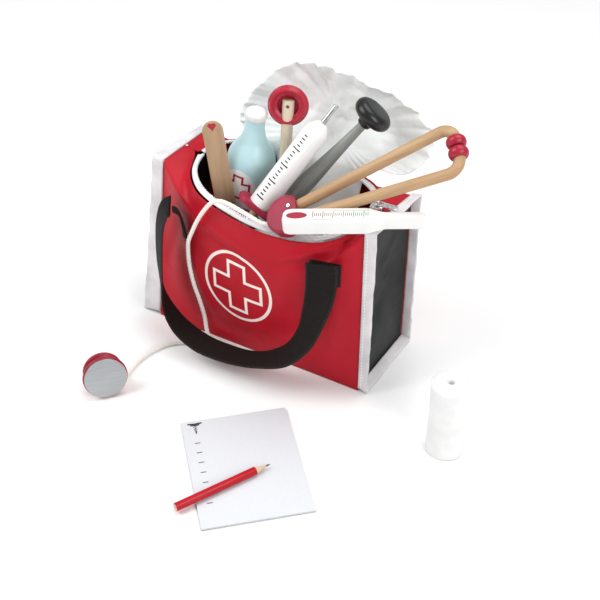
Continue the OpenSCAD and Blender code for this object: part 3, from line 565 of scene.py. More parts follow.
ribbon = new_material("white_grosgrain", (0.76, 0.73, 0.74), 0.48, sheen_weight=0.15)
ribbon_map = cloth_map(ribbon)
ribbon_ribs = bands(ribbon, ribbon_map, 260.0, "X", 0.4, 1.0)
ribbon_cross = bands(ribbon, ribbon_map, 420.0, "Y")
ribbon_tone = shades(cloudy(ribbon, own_place(ribbon), 45, 3),
                     (0.3, (0.58, 0.555, 0.575)), (0.66, (0.80, 0.775, 0.785)))
ribbon_tone = printed(ribbon_tone, (0.55, 0.54, 0.57), ribbon_ribs * 0.22)
ribbon_stitch = sewn_row(ribbon, ribbon_map, 0.0032, 300.0)
dress(ribbon, printed(ribbon_tone, (0.95, 0.95, 0.95), ribbon_stitch),
      relief(ribbon_stitch, 0.8, 0.0005,
             relief(ribbon_ribs, 0.45, 0.0004, relief(ribbon_cross, 0.2, 0.0003))))


def both_faces(rows):
    """Shares across a flat band: out along its face, then home along its back."""
    shares = [k / (rows - 1) for k in range(rows)]
    return [(f, False) for f in shares] + [(f, True) for f in shares[::-1]]


def face_outwards(piece):
    bm = bmesh.new()
    bm.from_mesh(piece.data)
    bmesh.ops.recalc_face_normals(bm, faces=bm.faces)
    bm.to_mesh(piece.data)
    bm.free()


def bound_seam(name, corners, seed):
    """One closed ribbon: two layers folded over the seam, a little wavy along the free edge."""
    start = np.array(corners, dtype=float)[:, None]
    share = (np.arange(ribbon_along) / ribbon_along)[None, :, None, None]
    lines = (start + (np.roll(start, -1, axis=0) - start) * share).reshape(-1, 2, 3)
    edge, free = lines[:, 0], lines[:, 1]
    run = travelled(edge)
    along = unit(np.roll(edge, -1, axis=0) - np.roll(edge, 1, axis=0))
    normal = unit(np.cross(along, free - edge))
    points, uv = [], []
    for i in range(len(edge)):
        wide = np.linalg.norm(free[i] - edge[i])
        q = Vector(edge[i] * wave_size) + Vector((seed, 0, 0))
        wave = ripple.noise(q) * wave_high + ripple.noise(q * 3.1) * ripple_high
        draw = ribbon_inset + abs(ripple.noise(q * 0.8 + Vector((9, 9, 9))) * pucker)
        for f, back in both_faces(ribbon_rows):
            thick = (fold_thick - edge_thinner * f ** 4) * (0.9 if back else -0.9)
            p = edge[i] + (free[i] - edge[i]) * f * (wide - draw) / wide
            points.append((p + normal[i] * (wave * f * f + thick)) / 1000)
            uv.append((run[i] / 1000, f * wide / 1000 + (0.1 if back else 0)))
    faces = sleeve(len(edge), 2 * ribbon_rows, closed=True)
    piece = new_piece(name, points, faces, uv, ribbon)
    face_outwards(piece)
    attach(piece, "bag")
    return piece


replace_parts(bound_seam("left_seam_ribbon", left_corners, 0), "left_binding")
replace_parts(bound_seam("right_seam_ribbon", right_corners, 40), "right_binding")

# ---------- Zipper ----------
# A white polyester zipper of size 5: a woven tape sewn along each rim, moulded teeth on its
# free edge, and a plated slider with a small pull at the right end of the mouth.
tape_from, tape_to, tape_step = 0.02, 0.96, 0.75     # shares of the rim, and mm between rings
tape_rows, tape_out, tape_wide, tape_half = 9, 3.4, 4.0, 0.4
tape_rise, tape_waver = 0.25, 0.21
tooth_size, tooth_bevel = (0.0013, 0.0023, 0.0021), 0.0003
tooth_pitch, tooth_first, tooth_out = 2.1, 1.2, 8.5
bead_out, bead_wide, bead_high, bead_sides = 7.7, 0.6, 0.75, 6

zip_tape = new_material("white_zipper_tape", (0.83, 0.83, 0.83), 0.6, sheen_weight=0.2)
tape_map = cloth_map(zip_tape)
tape_ribs = bands(zip_tape, tape_map, 500.0, "Y")
tape_weft = bands(zip_tape, tape_map, 700.0, "X")
tape_stitch = sewn_row(zip_tape, tape_map, 0.0012, 320.0)
tape_tone = shades(cloudy(zip_tape, own_place(zip_tape), 60, 2),
                   (0.3, (0.76, 0.76, 0.77)), (0.7, (0.88, 0.88, 0.88)))
dress(zip_tape, printed(tape_tone, (0.62, 0.62, 0.64), tape_ribs * 0.25),
      relief(tape_stitch, 0.8, 0.0004,
             relief(tape_ribs, 0.4, 0.0002, relief(tape_weft, 0.2, 0.0002))))
zip_teeth = new_material("white_zipper_teeth", (0.86, 0.86, 0.85), 0.35)
teeth_worn = cloudy(zip_teeth, own_place(zip_teeth), 300, 3)
dress(zip_teeth, shades(teeth_worn, (0.3, (0.78, 0.78, 0.78)), (0.7, (0.90, 0.90, 0.89))),
      relief(teeth_worn, 0.2, 0.0001))

bpy.ops.object.select_all(action="DESELECT")
bpy.ops.mesh.primitive_cube_add(size=1)
tooth = bpy.context.object
tooth.scale = tooth_size
bpy.ops.object.transform_apply(location=False, rotation=False, scale=True)
bpy.ops.object.mode_set(mode="EDIT")
bpy.ops.mesh.select_all(action="SELECT")
bpy.ops.mesh.bevel(offset=tooth_bevel, segments=1, affect="EDGES")
bpy.ops.object.mode_set(mode="OBJECT")
tooth_points = np.array([v.co[:] for v in tooth.data.vertices])
tooth_faces = [tuple(f.vertices) for f in tooth.data.polygons]
bpy.data.objects.remove(tooth)


def rim_line(rim):
    steps = 1200
    line = through(rim[1:-1], steps)
    return even(line[int(tape_from * steps):int(tape_to * steps) + 1], tape_step)[0]


def into_mouth(p):
    """The way that a point's tape turns in: level towards the mouth's middle, rising a little."""
    flat = np.stack([-0.12 * p[:, 0], 6 - p[:, 1], np.zeros(len(p))], axis=1)
    flat[:, 2] = 0.15 * np.linalg.norm(flat[:, :2], axis=1)
    return unit(flat)


def zipper_half(name, rim, nodes):
    """One side's tape, and the teeth with the bead that they are moulded on."""
    line = rim_line(rim)
    inward, step = into_mouth(line), directions(line)
    up = unit(np.cross(step, inward))
    waver = tape_rise * np.sin(tape_waver * np.arange(len(line)))
    points, uv = [], []
    for i, p in enumerate(line):
        for f, back in both_faces(tape_rows):
            lift = waver[i] * f + (tape_half if back else -tape_half)
            points.append((p + inward[i] * (tape_out + tape_wide * f) + up[i] * lift) / 1000)
            uv.append((i * tape_step / 1000, 0.0055 * f))
    faces = sleeve(len(line), 2 * tape_rows)
    tape = new_piece(name + "_tape_cloth", points, faces, uv, zip_tape)
    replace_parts(tape, nodes[0])

    points, faces = [], []
    for far in np.arange(tooth_first, (len(line) - 1) * tape_step - 1, tooth_pitch):
        i = int(far / tape_step)
        centre = (line[i] + inward[i] * tooth_out + up[i] * waver[i]) / 1000
        faces += [tuple(len(points) + v for v in face) for face in tooth_faces]
        points += [centre + step[i] * q[0] + inward[i] * q[1] + up[i] * q[2]
                   for q in tooth_points]
    faces += sleeve(len(line), bead_sides, first=len(points))
    for i, p in enumerate(line):
        centre = p + inward[i] * bead_out + up[i] * waver[i]
        for k in range(bead_sides):
            a = 2 * math.pi * k / bead_sides
            points.append((centre + inward[i] * bead_wide * math.cos(a)
                           + up[i] * bead_high * math.sin(a)) / 1000)
    teeth = new_piece(name + "_teeth_row", points, faces, None, zip_teeth, smooth=False)
    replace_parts(teeth, nodes[1])
    for piece, slot in ((tape, "zipper_tape"), (teeth, "zipper_teeth")):
        face_outwards(piece)
        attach(piece, "bag")


zipper_half("zipper_front", front_rim, ("zipper_tape_front", "zipper_teeth_front"))
zipper_half("zipper_back", back_rim, ("zipper_tape_back", "zipper_teeth_back"))

plated = new_material("nickel_plate", (0.62, 0.63, 0.64), 0.24, metallic=1.0)
plated_worn = cloudy(plated, own_place(plated), 400, 4)
dress(plated, shades(plated_worn, (0.3, (0.50, 0.51, 0.52)), (0.7, (0.72, 0.73, 0.74))),
      roughness=plated_worn * 0.25 + 0.14)


def repaint(node, material):
    for mesh_slot in cad[node].material_slots:
        mesh_slot.material = material
    if not cad[node].material_slots:
        cad[node].data.materials.append(material)


def only(piece):
    bpy.ops.object.select_all(action="DESELECT")
    bpy.context.view_layer.objects.active = piece
    piece.select_set(True)


def softened(node, name, body, width, material, segments=3):
    """A copy of a solid with its sharp edges rounded, as sanding and paint leave them."""
    piece = bpy.data.objects.new(name, cad[node].data.copy())
    scene.collection.objects.link(piece)
    only(piece)
    bpy.ops.object.mode_set(mode="EDIT")
    bpy.ops.mesh.select_all(action="SELECT")
    bpy.ops.mesh.remove_doubles(threshold=0.00002)
    bpy.ops.mesh.dissolve_limited(angle_limit=math.radians(1.5))
    bpy.ops.object.mode_set(mode="OBJECT")
    bevel = piece.modifiers.new("rounded", "BEVEL")
    bevel.width = width
    bevel.segments = segments
    bevel.limit_method = "ANGLE"
    bevel.angle_limit = math.radians(28)
    bpy.ops.object.modifier_apply(modifier="rounded")
    bpy.ops.object.shade_smooth_by_angle(angle=math.radians(32))
    piece.data.materials.clear()
    piece.data.materials.append(material)
    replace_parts(piece, node)
    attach(piece, body)


softened("zipper_slider", "zipper_slider_cast", "bag", 0.0009, plated)
softened("zipper_pull", "zipper_pull_cast", "zipper_pull", 0.0004, plated)

# ---------- Handles ----------
# Black polypropylene webbing, 28 mm wide, woven with fine cross ribs. Each end is folded
# back on itself and sewn to the panel in a box, and the long middle hangs down loose.
strap_wide, folded_tab_wide = 28, 12
strap_rows, strap_half = 13, 1.0
stitch_long, stitch_sides, box_margin, box_low, box_high = 2.5, 6, 2.5, 3.0, 24.0
stitch_rings = ((0.1, 0.12), (0.3, 0.26), (0.7, 0.26), (0.9, 0.12))     # share of it, radius
stitch_sunk, stitch_crown, patch_steps = 0.95, 0.3, 400
# each point of a route: its place, and the way that the webbing's width lies there
front_strap = [
    ((80, -52.8, 132.5), (1, 0.25, 0)), ((81.5, -54.8, 116), (1, 0.2, 0)),
    ((80.5, -57, 100), (1, 0, -0.1)), ((77.5, -61, 81.5), (0.92, -0.35, -0.25)),
    ((72, -66.5, 60), (0.75, -0.62, -0.3)), ((58, -72, 39.5), (0.45, -0.87, -0.2)),
    ((35.5, -75.5, 26.5), (0.1, -1, 0)), ((15, -77, 20), (0, -1, 0.1)),
    ((-8, -77, 17), (0, -1, 0.1)), ((-34, -76, 17.5), (0.1, -1, 0.1)),
    ((-59, -74, 28), (0.3, -0.95, 0.1)), ((-75, -71, 48.5), (0.55, -0.85, 0)),
    ((-80.5, -67, 76), (0.7, -0.72, 0)), ((-82, -62.5, 108), (0.74, -0.67, 0)),
    ((-80.5, -59.5, 127), (0.74, -0.67, 0)), ((-76.5, -57.5, 138), (0.74, -0.67, 0)),
    ((-72, -55.5, 142), (0.74, -0.67, 0)),
]
front_tab_left = [
    ((-66.8, -58.6, 142.2), (0.74, -0.67, 0)), ((-63.3, -56, 139), (0.74, -0.67, 0)),
    ((-62.5, -53, 131), (0.74, -0.67, 0)), ((-62, -51, 119), (0.76, -0.65, 0)),
    ((-61, -50.5, 109), (0.8, -0.6, 0)),
]
front_tab_right = [
    ((81, -47.4, 131.5), (1, 0.3, 0)), ((81, -48.6, 124), (1, 0.3, 0)),
    ((81, -48.6, 116), (1, 0.3, 0)), ((81, -48.7, 109), (1, 0.3, 0)),
]
back_strap = [
    ((-72, 59.5, 134.5), (1, 0, 0)), ((-75, 61, 118), (1, 0, 0)),
    ((-77, 62.5, 100), (0.97, 0, 0.2)), ((-72, 64.5, 78), (0.85, 0.2, 0.5)),
    ((-58, 67, 56), (0.65, 0.3, 0.7)),
    ((-36, 69.5, 40), (0.35, 0.4, 0.9)), ((-6, 70.5, 34), (0, 0.45, 0.9)),
    ((26, 69.5, 40), (-0.35, 0.4, 0.9)), ((50, 67, 56), (-0.65, 0.3, 0.7)),
    ((68, 64.5, 78), (-0.85, 0.2, 0.5)), ((77, 62.5, 100), (-0.97, 0, 0.2)),
    ((77, 61, 118), (-1, 0, 0)), ((74, 59.5, 134.5), (-1, 0, 0)),
]
front_tabs = [(front_tab_left, folded_tab_wide), (front_tab_right, strap_wide)]
back_tabs = [([((x, y - 0.04 * drop, 132 - drop), (1, lean, 0)) for drop in (0, 10, 23)],
              strap_wide) for x, y, lean in ((-72, 55, 0.13), (74, 57, -0.06))]

webbing = new_material("black_webbing", (0.012, 0.010, 0.009), 0.66, 0.12)
web_map = cloth_map(webbing)
web_ribs = bands(webbing, web_map, 200.0, "X", 0.5, 1.0)
web_warp = bands(webbing, web_map, 330.0, "Y")
web_edge = fade(abs(axes(webbing, web_map)[1] - 0.014), 0.0118, 0.0124, 0.0, 1.0)
web_tone = shades(web_ribs, (0.2, (0.006, 0.005, 0.005)), (0.8, (0.018, 0.014, 0.012)))
dress(webbing, printed(web_tone, (0.030, 0.027, 0.024), web_edge * 0.5),
      relief(web_ribs, 0.6, 0.0005, relief(web_warp, 0.35, 0.0003)))

thread = new_material("black_thread", (0.03, 0.03, 0.03), 0.45)
thread_twist = bands(thread, own_place(thread), 900.0, "DIAGONAL")
dress(thread, shades(thread_twist, (0.2, (0.02, 0.02, 0.02)), (0.8, (0.06, 0.055, 0.05))),
      relief(thread_twist, 0.5, 0.0002))


def strap_lines(route, count):
    """The webbing's middle line, its direction, the way its width lies, and its normal."""
    line = through([place for place, lean in route], count)
    lean = through([unit(lean) for place, lean in route], count)
    t = directions(line)
    side = unit(lean - t * np.sum(lean * t, axis=1)[:, None])
    return line, t, side, np.cross(t, side)


def strap_mesh(route, wide, first):
    line, _, side, normal = strap_lines(route, 24 * (len(route) - 1))
    run = travelled(line)
    points, uv = [], []
    for i in range(len(line)):
        for f, back in both_faces(strap_rows):
            thin_edge = math.sqrt(max(0.0, 1 - (abs(f - 0.5) * 2) ** 14)) * 0.75 + 0.25
            thick = strap_half * thin_edge * (1 if back else -1)
            points.append((line[i] + side[i] * (f - 0.5) * wide + normal[i] * thick) / 1000)
            uv.append((run[i] / 1000, f * wide / 1000 + (strap_wide - wide) / 2000))
    return points, uv, sleeve(len(line), 2 * strap_rows, first)


def webbing_piece(name, routes, node, body):
    points, uv, faces = [], [], []
    for route, wide in routes:
        p, q, f = strap_mesh(route, wide, len(points))
        points, uv, faces = points + p, uv + q, faces + f
    piece = new_piece(name, points, faces, uv, webbing)
    face_outwards(piece)
    only(piece)
    bpy.ops.object.shade_smooth_by_angle(angle=math.radians(50))
    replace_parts(piece, node)
    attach(piece, body)


webbing_piece("front_handle_webbing", [(front_strap, strap_wide)], "front_handle_strap",
              "front_handle")
webbing_piece("front_handle_tab_webbing", front_tabs, "front_handle_tabs", "bag")
webbing_piece("back_handle_webbing", [(back_strap, strap_wide)], "back_handle_strap",
              "back_handle")
webbing_piece("back_handle_tab_webbing", back_tabs, "back_handle_tabs", "bag")


def sewn_box(name, routes, outside):
    """Stitches in a box with a cross in it, on the outer face of each patch."""
    points, faces = [], []
    for route, wide in routes:
        line, t, side, normal = strap_lines(route, patch_steps)
        normal = normal * np.sign(normal[:, 1] * outside)[:, None]
        run = travelled(line)
        high, w = min(run[-1] - 1.5, box_high), wide / 2 - box_margin
        corners = np.array([(box_low, -w), (high, -w), (high, w), (box_low, w)])
        for a, b in ((0, 1), (1, 2), (2, 3), (3, 0), (0, 2), (1, 3)):
            reach = corners[b] - corners[a]
            count = int(np.linalg.norm(reach) / stitch_long)
            for k in range(count):
                faces += sleeve(len(stitch_rings), stitch_sides, first=len(points))
                for f, r in stitch_rings:
                    s, c = corners[a] + reach * (k + f) / count
                    i = int(np.clip(np.searchsorted(run, s), 0, patch_steps))
                    lift = stitch_sunk + stitch_crown * math.sin(math.pi * f)
                    centre = line[i] + side[i] * c + normal[i] * lift
                    wing = np.cross(unit(t[i] * reach[0] + side[i] * reach[1]), normal[i])
                    for q in range(stitch_sides):
                        turn = 2 * math.pi * q / stitch_sides
                        points.append((centre + wing * r * math.cos(turn)
                                       + normal[i] * r * math.sin(turn)) / 1000)
    piece = new_piece(name, points, faces, None, thread)
    face_outwards(piece)
    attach(piece, "bag")


sewn_box("front_tab_stitches", front_tabs, -1)
sewn_box("back_tab_stitches", back_tabs, 1)

# ---------- Surgical cap ----------
# A round cap of thin white non-woven cloth with a gathered elastic edge. It stands open
# behind the instruments, and the rest of it is stuffed down into the bag under them.
cap_edge = [     # x and z round the edge
    (-10, 82), (-14, 150), (-30, 174), (-52, 178), (-61, 188), (-57, 203), (-44, 222),
    (-20, 243), (8, 251), (40, 249), (74, 243), (104, 235), (126, 217), (125, 196), (108, 179),
    (84, 177), (72, 172), (69, 156), (62, 96), (30, 64),
]
cap_mid = np.array((30.0, 190.0))
cap_spokes, cap_rings, edge_steps = 288, 44, 2300
swell_from, swell_over = 172, 30     # the cloth is held in below this z, and full above it
dish_deep, puff, back_off = 17, 4, 1.2
gathers, gather_high, fine_gathers, fine_high = 26, 1.8, 61, 0.6
gathers_from, crumple_size, crumple_high = 0.35, 0.035, 3.4
cap_lean, lean_low, lean_high = [32, 33, 33.5, 37.5, 45.5, 51, 56], 100, 250     # y, from z to z
heap_line = [58, 74, 88, 100, 110, 119, 118, 108, 92, 74]     # z, from left to right
heap_left, heap_wide, heap_front, heap_deep = -72, 144, -30, 66
heap_cols, heap_rows, heap_hem, hem_drop = 170, 100, 10, 30
cloth_thick = 0.0004

nonwoven = new_material("white_nonwoven", (0.86, 0.86, 0.85), 0.75, sheen_weight=0.2,
                        subsurface_weight=0.1, subsurface_scale=0.004)
nonwoven_place = own_place(nonwoven)
fibres = cloudy(nonwoven, nonwoven_place, 700, 5, 0.65, 1.2)
crumple = cloudy(nonwoven, nonwoven_place, 55, 4, 0.55, 0.6)
dots = Amount(nonwoven, add(nonwoven, "TexVoronoi", {"Vector": nonwoven_place,
                                                     "Scale": 620.0}).outputs[0])
dress(nonwoven, shades(fibres, (0.28, (0.88, 0.88, 0.865)), (0.66, (0.96, 0.96, 0.94))),
      relief(dots, 0.15, 0.0003, relief(fibres, 0.25, 0.0003, relief(crumple, 0.3, 0.003))))


def smooth_values(values, count):
    return through(np.array(values, dtype=float)[:, None], count)[:, 0]


lean_steps = 600
lean_line = smooth_values(cap_lean, lean_steps)


def lean_back(z):
    share = (z - lean_low) / (lean_high - lean_low)
    return lean_line[int(min(max(share * lean_steps, 0), lean_steps))]


def fold(place):
    """Sharp folds of crumpled cloth."""
    return 1 - 2.6 * abs(ripple.noise(place))


def cap_layer(back):
    """The cap's front layer, dished and gathered at its edge, or its puffed back layer."""
    wrapped = [cap_edge[-1]] + cap_edge + cap_edge[:2]
    outline = through([(x, z, 0) for x, z in wrapped], edge_steps)
    n = len(cap_edge)
    points = []
    for i in range(cap_rings + 1):
        r = i / cap_rings
        for j in range(cap_spokes):
            a = j / cap_spokes
            e = outline[int(round((1 + a * n) / (n + 2) * edge_steps)), :2]
            q = cap_mid + (e - cap_mid) * r
            swell = min(max((q[1] - swell_from) / swell_over, 0), 1)
            turn = 2 * math.pi * a
            gather = math.sin(gathers * turn + 2.2 * math.sin(5 * turn))
            fine = math.sin(fine_gathers * turn + 1.7 * math.sin(7 * turn))
            near = max(0.0, (r - gathers_from) / (1 - gathers_from))
            wave = gather * gather_high * near ** 1.4 + fine * fine_high * near ** 3
            wave *= 0.25 + 0.75 * swell
            s = Vector((q[0] * crumple_size, q[1] * crumple_size, 3.0 + 9 * back))
            crush = ripple.noise(s) * crumple_high + fold(s * 1.7) * 1.5 + fold(s * 3.4) * 0.5
            lift = swell * (dish_deep * (1 - r ** 2.6) + puff * back * (1 - r ** 6))
            lift += back_off * back * (1 - r ** 8)
            y = lean_back(q[1]) + lift + wave + crush * (0.2 + 0.8 * swell) * (1 - r ** 6)
            q = cap_mid + (q - cap_mid) * (1 + swell * 0.006 * (gather + 0.8 * fine) * near ** 4)
            points.append((q[0], y + 1.5, q[1]))
    faces = []
    for i in range(cap_rings):
        for j in range(cap_spokes):
            a, b = i * cap_spokes + j, i * cap_spokes + (j + 1) % cap_spokes
            face = (a, b, b + cap_spokes, a + cap_spokes)
            faces.append(face if back else (face[0], face[3], face[2], face[1]))
    return points, faces


def heap_layer():
    """The crumpled rest of the cap, under the instruments."""
    top = smooth_values(heap_line, heap_cols)
    points, faces = [], []
    for i in range(heap_cols + 1):
        for j in range(heap_rows + 1):
            u, v = i / heap_cols, j / heap_rows
            x, y = heap_left + heap_wide * u, heap_front + heap_deep * v
            z = top[i] * (0.62 + 0.38 * math.sqrt(max(0, math.sin(math.pi * v)))) - 4
            s = Vector((x * 0.05, y * 0.05, 7.0))
            z += 3.4 * (1 - 2.4 * abs(ripple.noise(s)))
            z += 1.8 * (1 - 2.4 * abs(ripple.noise(s * 2.6)))
            hem = min(i, heap_cols - i, j, heap_rows - j)
            if hem < heap_hem:
                z -= hem_drop * (1 - hem / heap_hem) ** 2
            points.append((x, y, z))
            if i < heap_cols and j < heap_rows:
                a, b = i * (heap_rows + 1) + j, (i + 1) * (heap_rows + 1) + j
                faces.append((a, b, b + 1, a + 1))
    return points, faces


cap_points, cap_faces = [], []
for layer_points, layer_faces in (cap_layer(0), cap_layer(1), heap_layer()):
    cap_faces += [tuple(len(cap_points) + v for v in face) for face in layer_faces]
    cap_points += layer_points
cap_points = np.array(cap_points) / 1000
cap_piece = new_piece("surgical_cap_cloth", cap_points, cap_faces, cap_points[:, [0, 2]],
                      nonwoven)
only(cap_piece)
thin = cap_piece.modifiers.new("thin", "SOLIDIFY")
thin.thickness = cloth_thick
thin.offset = 0
bpy.ops.object.modifier_apply(modifier="thin")
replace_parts(cap_piece, "surgical_cap")
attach(cap_piece, "bag")

# ---------- Tongue depressor ----------
# A flat stick of pale beech with round ends, sanded and oiled, 120 by 18 mm. A small red
# heart is printed near its top end.
depressor_top, depressor_axis = (-51, -16, 213), (-0.129, -0.014, 0.992)
view_side = (0.86, 0.51, 0)
heart_drop, heart_lobe, lobe_radius, heart_tip = 0.0045, (0.0016, 0.0012), 0.0021, 0.0025


def own_axes(origin, z, x=(1, 0, 0)):
    """Turns a pattern to a piece's own axes: its Z along z and its X near x."""
    up = Vector(z).normalized()
    side = (Vector(x) - up * Vector(x).dot(up)).normalized()
    turn = Matrix((side, up.cross(side), up)).transposed().to_euler()
    location = [c / 1000 for c in origin]

    def where(material):
        return add(material, "Mapping", {"Vector": own_place(material), "Location": location,
                                         "Rotation": turn}, vector_type="TEXTURE").outputs[0]
    return where


def drawn_out(material, where, scale):
    return add(material, "Mapping", {"Vector": where, "Scale": scale}).outputs[0]


def wood(name, where, light, dark, roughness=0.5, grain=1.0):
    """Straight-grained wood: streaks run along the piece's own Z."""
    material = new_material(name, light, roughness)
    streaks = drawn_out(material, where(material), (1, 1, 0.06))
    broad = cloudy(material, streaks, 160 * grain, 3, 0.55, 0.6)
    fine = cloudy(material, streaks, 900 * grain, 3, 0.6)
    tone = printed(shades(broad, (0.3, dark), (0.68, light)), tuple(0.62 * c for c in dark),
                   fade(fine, 0.56, 0.72, 0.0, 0.35))
    dress(material, tone, relief(fine, 0.25, 0.0003, relief(broad, 0.15, 0.0008)),
          fine * 0.2 + (roughness - 0.1))
    return material, tone


in_stick = own_axes(depressor_top, depressor_axis, view_side)
stick_wood, stick_tone = wood("pale_beech", in_stick, (0.49, 0.33, 0.205), (0.39, 0.25, 0.145),
                              0.55)
x, _, z = axes(stick_wood, in_stick(stick_wood))
x, z = abs(x), z + heart_drop
lobe = far_from(x - heart_lobe[0], z - heart_lobe[1]) - lobe_radius
tip = (x * 0.8 + z * -0.6 - heart_tip).larger(z - heart_lobe[1])
heart = fade(lobe.smaller(tip), -0.0001, 0.0001)
dress(stick_wood, printed(stick_tone, (0.42, 0.03, 0.05), heart))
softened("tongue_depressor", "depressor_stick", "depressor", 0.0007, stick_wood)

# ---------- Medicine bottle ----------
# A turned wooden bottle under glossy pale blue lacquer, with a white stopper and an oval
# white paper label that carries an outlined cross in dark red.
bottle_axis = unit((0.139, 0, 0.990))
bottle_high = 112
bottle_base = np.array((-24, 14.5, 216.6)) - bottle_high * bottle_axis
label_radius, label_high = 0.0223, 0.0435
label_cross, label_arm, label_line = 0.0112, 0.0044, 0.0009


def lacquer(name, light, dark, roughness, coat=0.2, where=own_place):
    """Sprayed lacquer over turned wood: a gloss coat, slight orange peel and faint grain."""
    material = new_material(name, light, roughness, coat_weight=coat, coat_roughness=0.12)
    place = where(material)
    tone = shades(cloudy(material, place, 40, 3), (0.3, dark), (0.7, light))
    peel = cloudy(material, place, 420, 2)
    grain = cloudy(material, drawn_out(material, place, (1, 1, 0.08)), 500, 3, 0.6)
    dress(material, tone, relief(peel, 0.10, 0.0003, relief(grain, 0.06, 0.0003)),
          grain * 0.14 + (roughness - 0.05))
    return material, tone


bottle_blue, _ = lacquer("pale_blue_lacquer", (0.50, 0.72, 0.76), (0.45, 0.67, 0.715), 0.3,
                         where=own_axes(bottle_base, bottle_axis))
white_lacquer, _ = lacquer("white_lacquer", (0.80, 0.80, 0.79), (0.74, 0.74, 0.73), 0.35)
softened("bottle_body", "bottle_turned", "bottle", 0.0006, bottle_blue)
softened("bottle_stopper", "bottle_stopper_turned", "bottle", 0.0006, white_lacquer)

label = new_material("label_paper", (0.86, 0.86, 0.85), 0.5)
label_at = own_axes(bottle_base, bottle_axis, (0.05, -1, 0))(label)
x, y, z = axes(label, label_at)
label_ink = fade(cross_outline(y.calc("ARCTAN2", x) * label_radius, z - label_high, label_cross,
                               label_arm), label_line, label_line + 0.0003)
label_fibre = cloudy(label, label_at, 500, 4, 0.6)
label_paper = shades(label_fibre, (0.3, (0.80, 0.80, 0.79)), (0.7, (0.88, 0.88, 0.87)))
dress(label, printed(label_paper, (0.36, 0.02, 0.05), label_ink), relief(label_fibre, 0.1, 0.0002))
repaint("bottle_label", label)

# ---------- Syringe ----------
# A turned white barrel with black measuring strokes down one side, a steel needle stub, and
# a crimson finger flange and thumb knob on a plain beech plunger rod.
syringe_at, syringe_axis = (2.6, -24, 149.9), (0.410, 0.479, 0.776)
syringe_across = (0.864, 0.070, -0.499)
stroke_from, stroke_pitch, last_stroke = 0.008, 0.0035, 19.3
stroke_reach, longer_by, strokes_face = 0.165, 0.22, 1.95     # radians round the barrel


def off_mark(step):
    """How far a scale's nearest stroke is, in steps."""
    return abs((step + 0.5).calc("FRACT") - 0.5)


def every_fifth(step):
    """1 at every fifth stroke of a scale."""
    return ((step.calc("ROUND") + 0.01) / 5.0).calc("FRACT").calc("COMPARE", 0.002, 0.02)


in_syringe = own_axes(syringe_at, syringe_axis, syringe_across)
barrel, barrel_tone = lacquer("syringe_white", (0.88, 0.88, 0.87), (0.83, 0.83, 0.82), 0.34,
                              where=in_syringe)
x, y, z = axes(barrel, in_syringe(barrel))
step = (z - stroke_from) / stroke_pitch
in_reach = abs(y.calc("ARCTAN2", x) + strokes_face) < every_fifth(step) * longer_by + stroke_reach
on_scale = (step > -0.3) * (step < last_stroke)
strokes = fade(off_mark(step), 0.15, 0.20) * in_reach * on_scale
dress(barrel, printed(barrel_tone, (0.008, 0.008, 0.010), strokes))
softened("syringe_barrel", "syringe_barrel_turned", "syringe", 0.0007, barrel)

crimson, _ = lacquer("crimson_lacquer", (0.34, 0.018, 0.055), (0.25, 0.010, 0.030), 0.45, 0.08)
softened("syringe_flange", "syringe_flange_turned", "syringe", 0.0015, crimson)
softened("syringe_knob", "plunger_knob_turned", "plunger", 0.0012, crimson)
rod_wood, _ = wood("plain_beech_rod", in_syringe, (0.62, 0.44, 0.27), (0.52, 0.35, 0.20), 0.5)
softened("syringe_rod", "plunger_rod_turned", "plunger", 0.0005, rod_wood)
steel = new_material("satin_steel", (0.60, 0.61, 0.63), 0.3, metallic=1.0)
steel_at = in_syringe(steel)
turned = bands(steel, steel_at, 400.0, "Z", 0.6)
dress(steel, shades(cloudy(steel, steel_at, 300, 3),
                    (0.3, (0.50, 0.51, 0.53)), (0.7, (0.68, 0.69, 0.70))),
      relief(turned, 0.1, 0.0002), turned * 0.12 + 0.22)
softened("syringe_needle", "syringe_needle_steel", "syringe", 0.0005, steel)

# ---------- Reflex hammer ----------
# A turned handle in silver-grey satin lacquer, thicker towards its end, with a glossy black
# wooden head like a small wheel and a black collar under it.
in_hammer = own_axes((78.1, 35, 231), (0.556, 0.322, 0.766))
silver_lacquer, _ = lacquer("silver_grey_lacquer", (0.29, 0.305, 0.285), (0.24, 0.255, 0.238),
                            0.30, 0.3, in_hammer)
black_lacquer, _ = lacquer("black_lacquer", (0.016, 0.016, 0.016), (0.010, 0.010, 0.010),
                           0.3, 0.2, in_hammer)
softened("hammer_handle", "hammer_handle_turned", "hammer", 0.0008, silver_lacquer)
softened("hammer_collar", "hammer_collar_turned", "hammer", 0.0006, black_lacquer)
softened("hammer_head", "hammer_head_turned", "hammer", 0.0006, black_lacquer)

# ---------- Otoscope ----------
# A dished crimson wooden ring on a cream-lacquered dowel that is glued into its edge; the
# small hole through both is for looking.
in_otoscope = own_axes((-1, 29.4, 221), (0.055, -0.214, -0.975), (0.37, -0.80, 0.44))
ring_red, _ = lacquer("bright_red_lacquer", (0.44, 0.020, 0.045), (0.36, 0.014, 0.030),
                      0.33, 0.15, in_otoscope)
cream_wood, _ = wood("cream_dowel", in_otoscope, (0.72, 0.64, 0.50), (0.62, 0.53, 0.39), 0.45)
softened("otoscope_ring", "otoscope_ring_turned", "otoscope", 0.0008, ring_red)
softened("otoscope_handle", "otoscope_dowel", "otoscope", 0.0009, cream_wood)

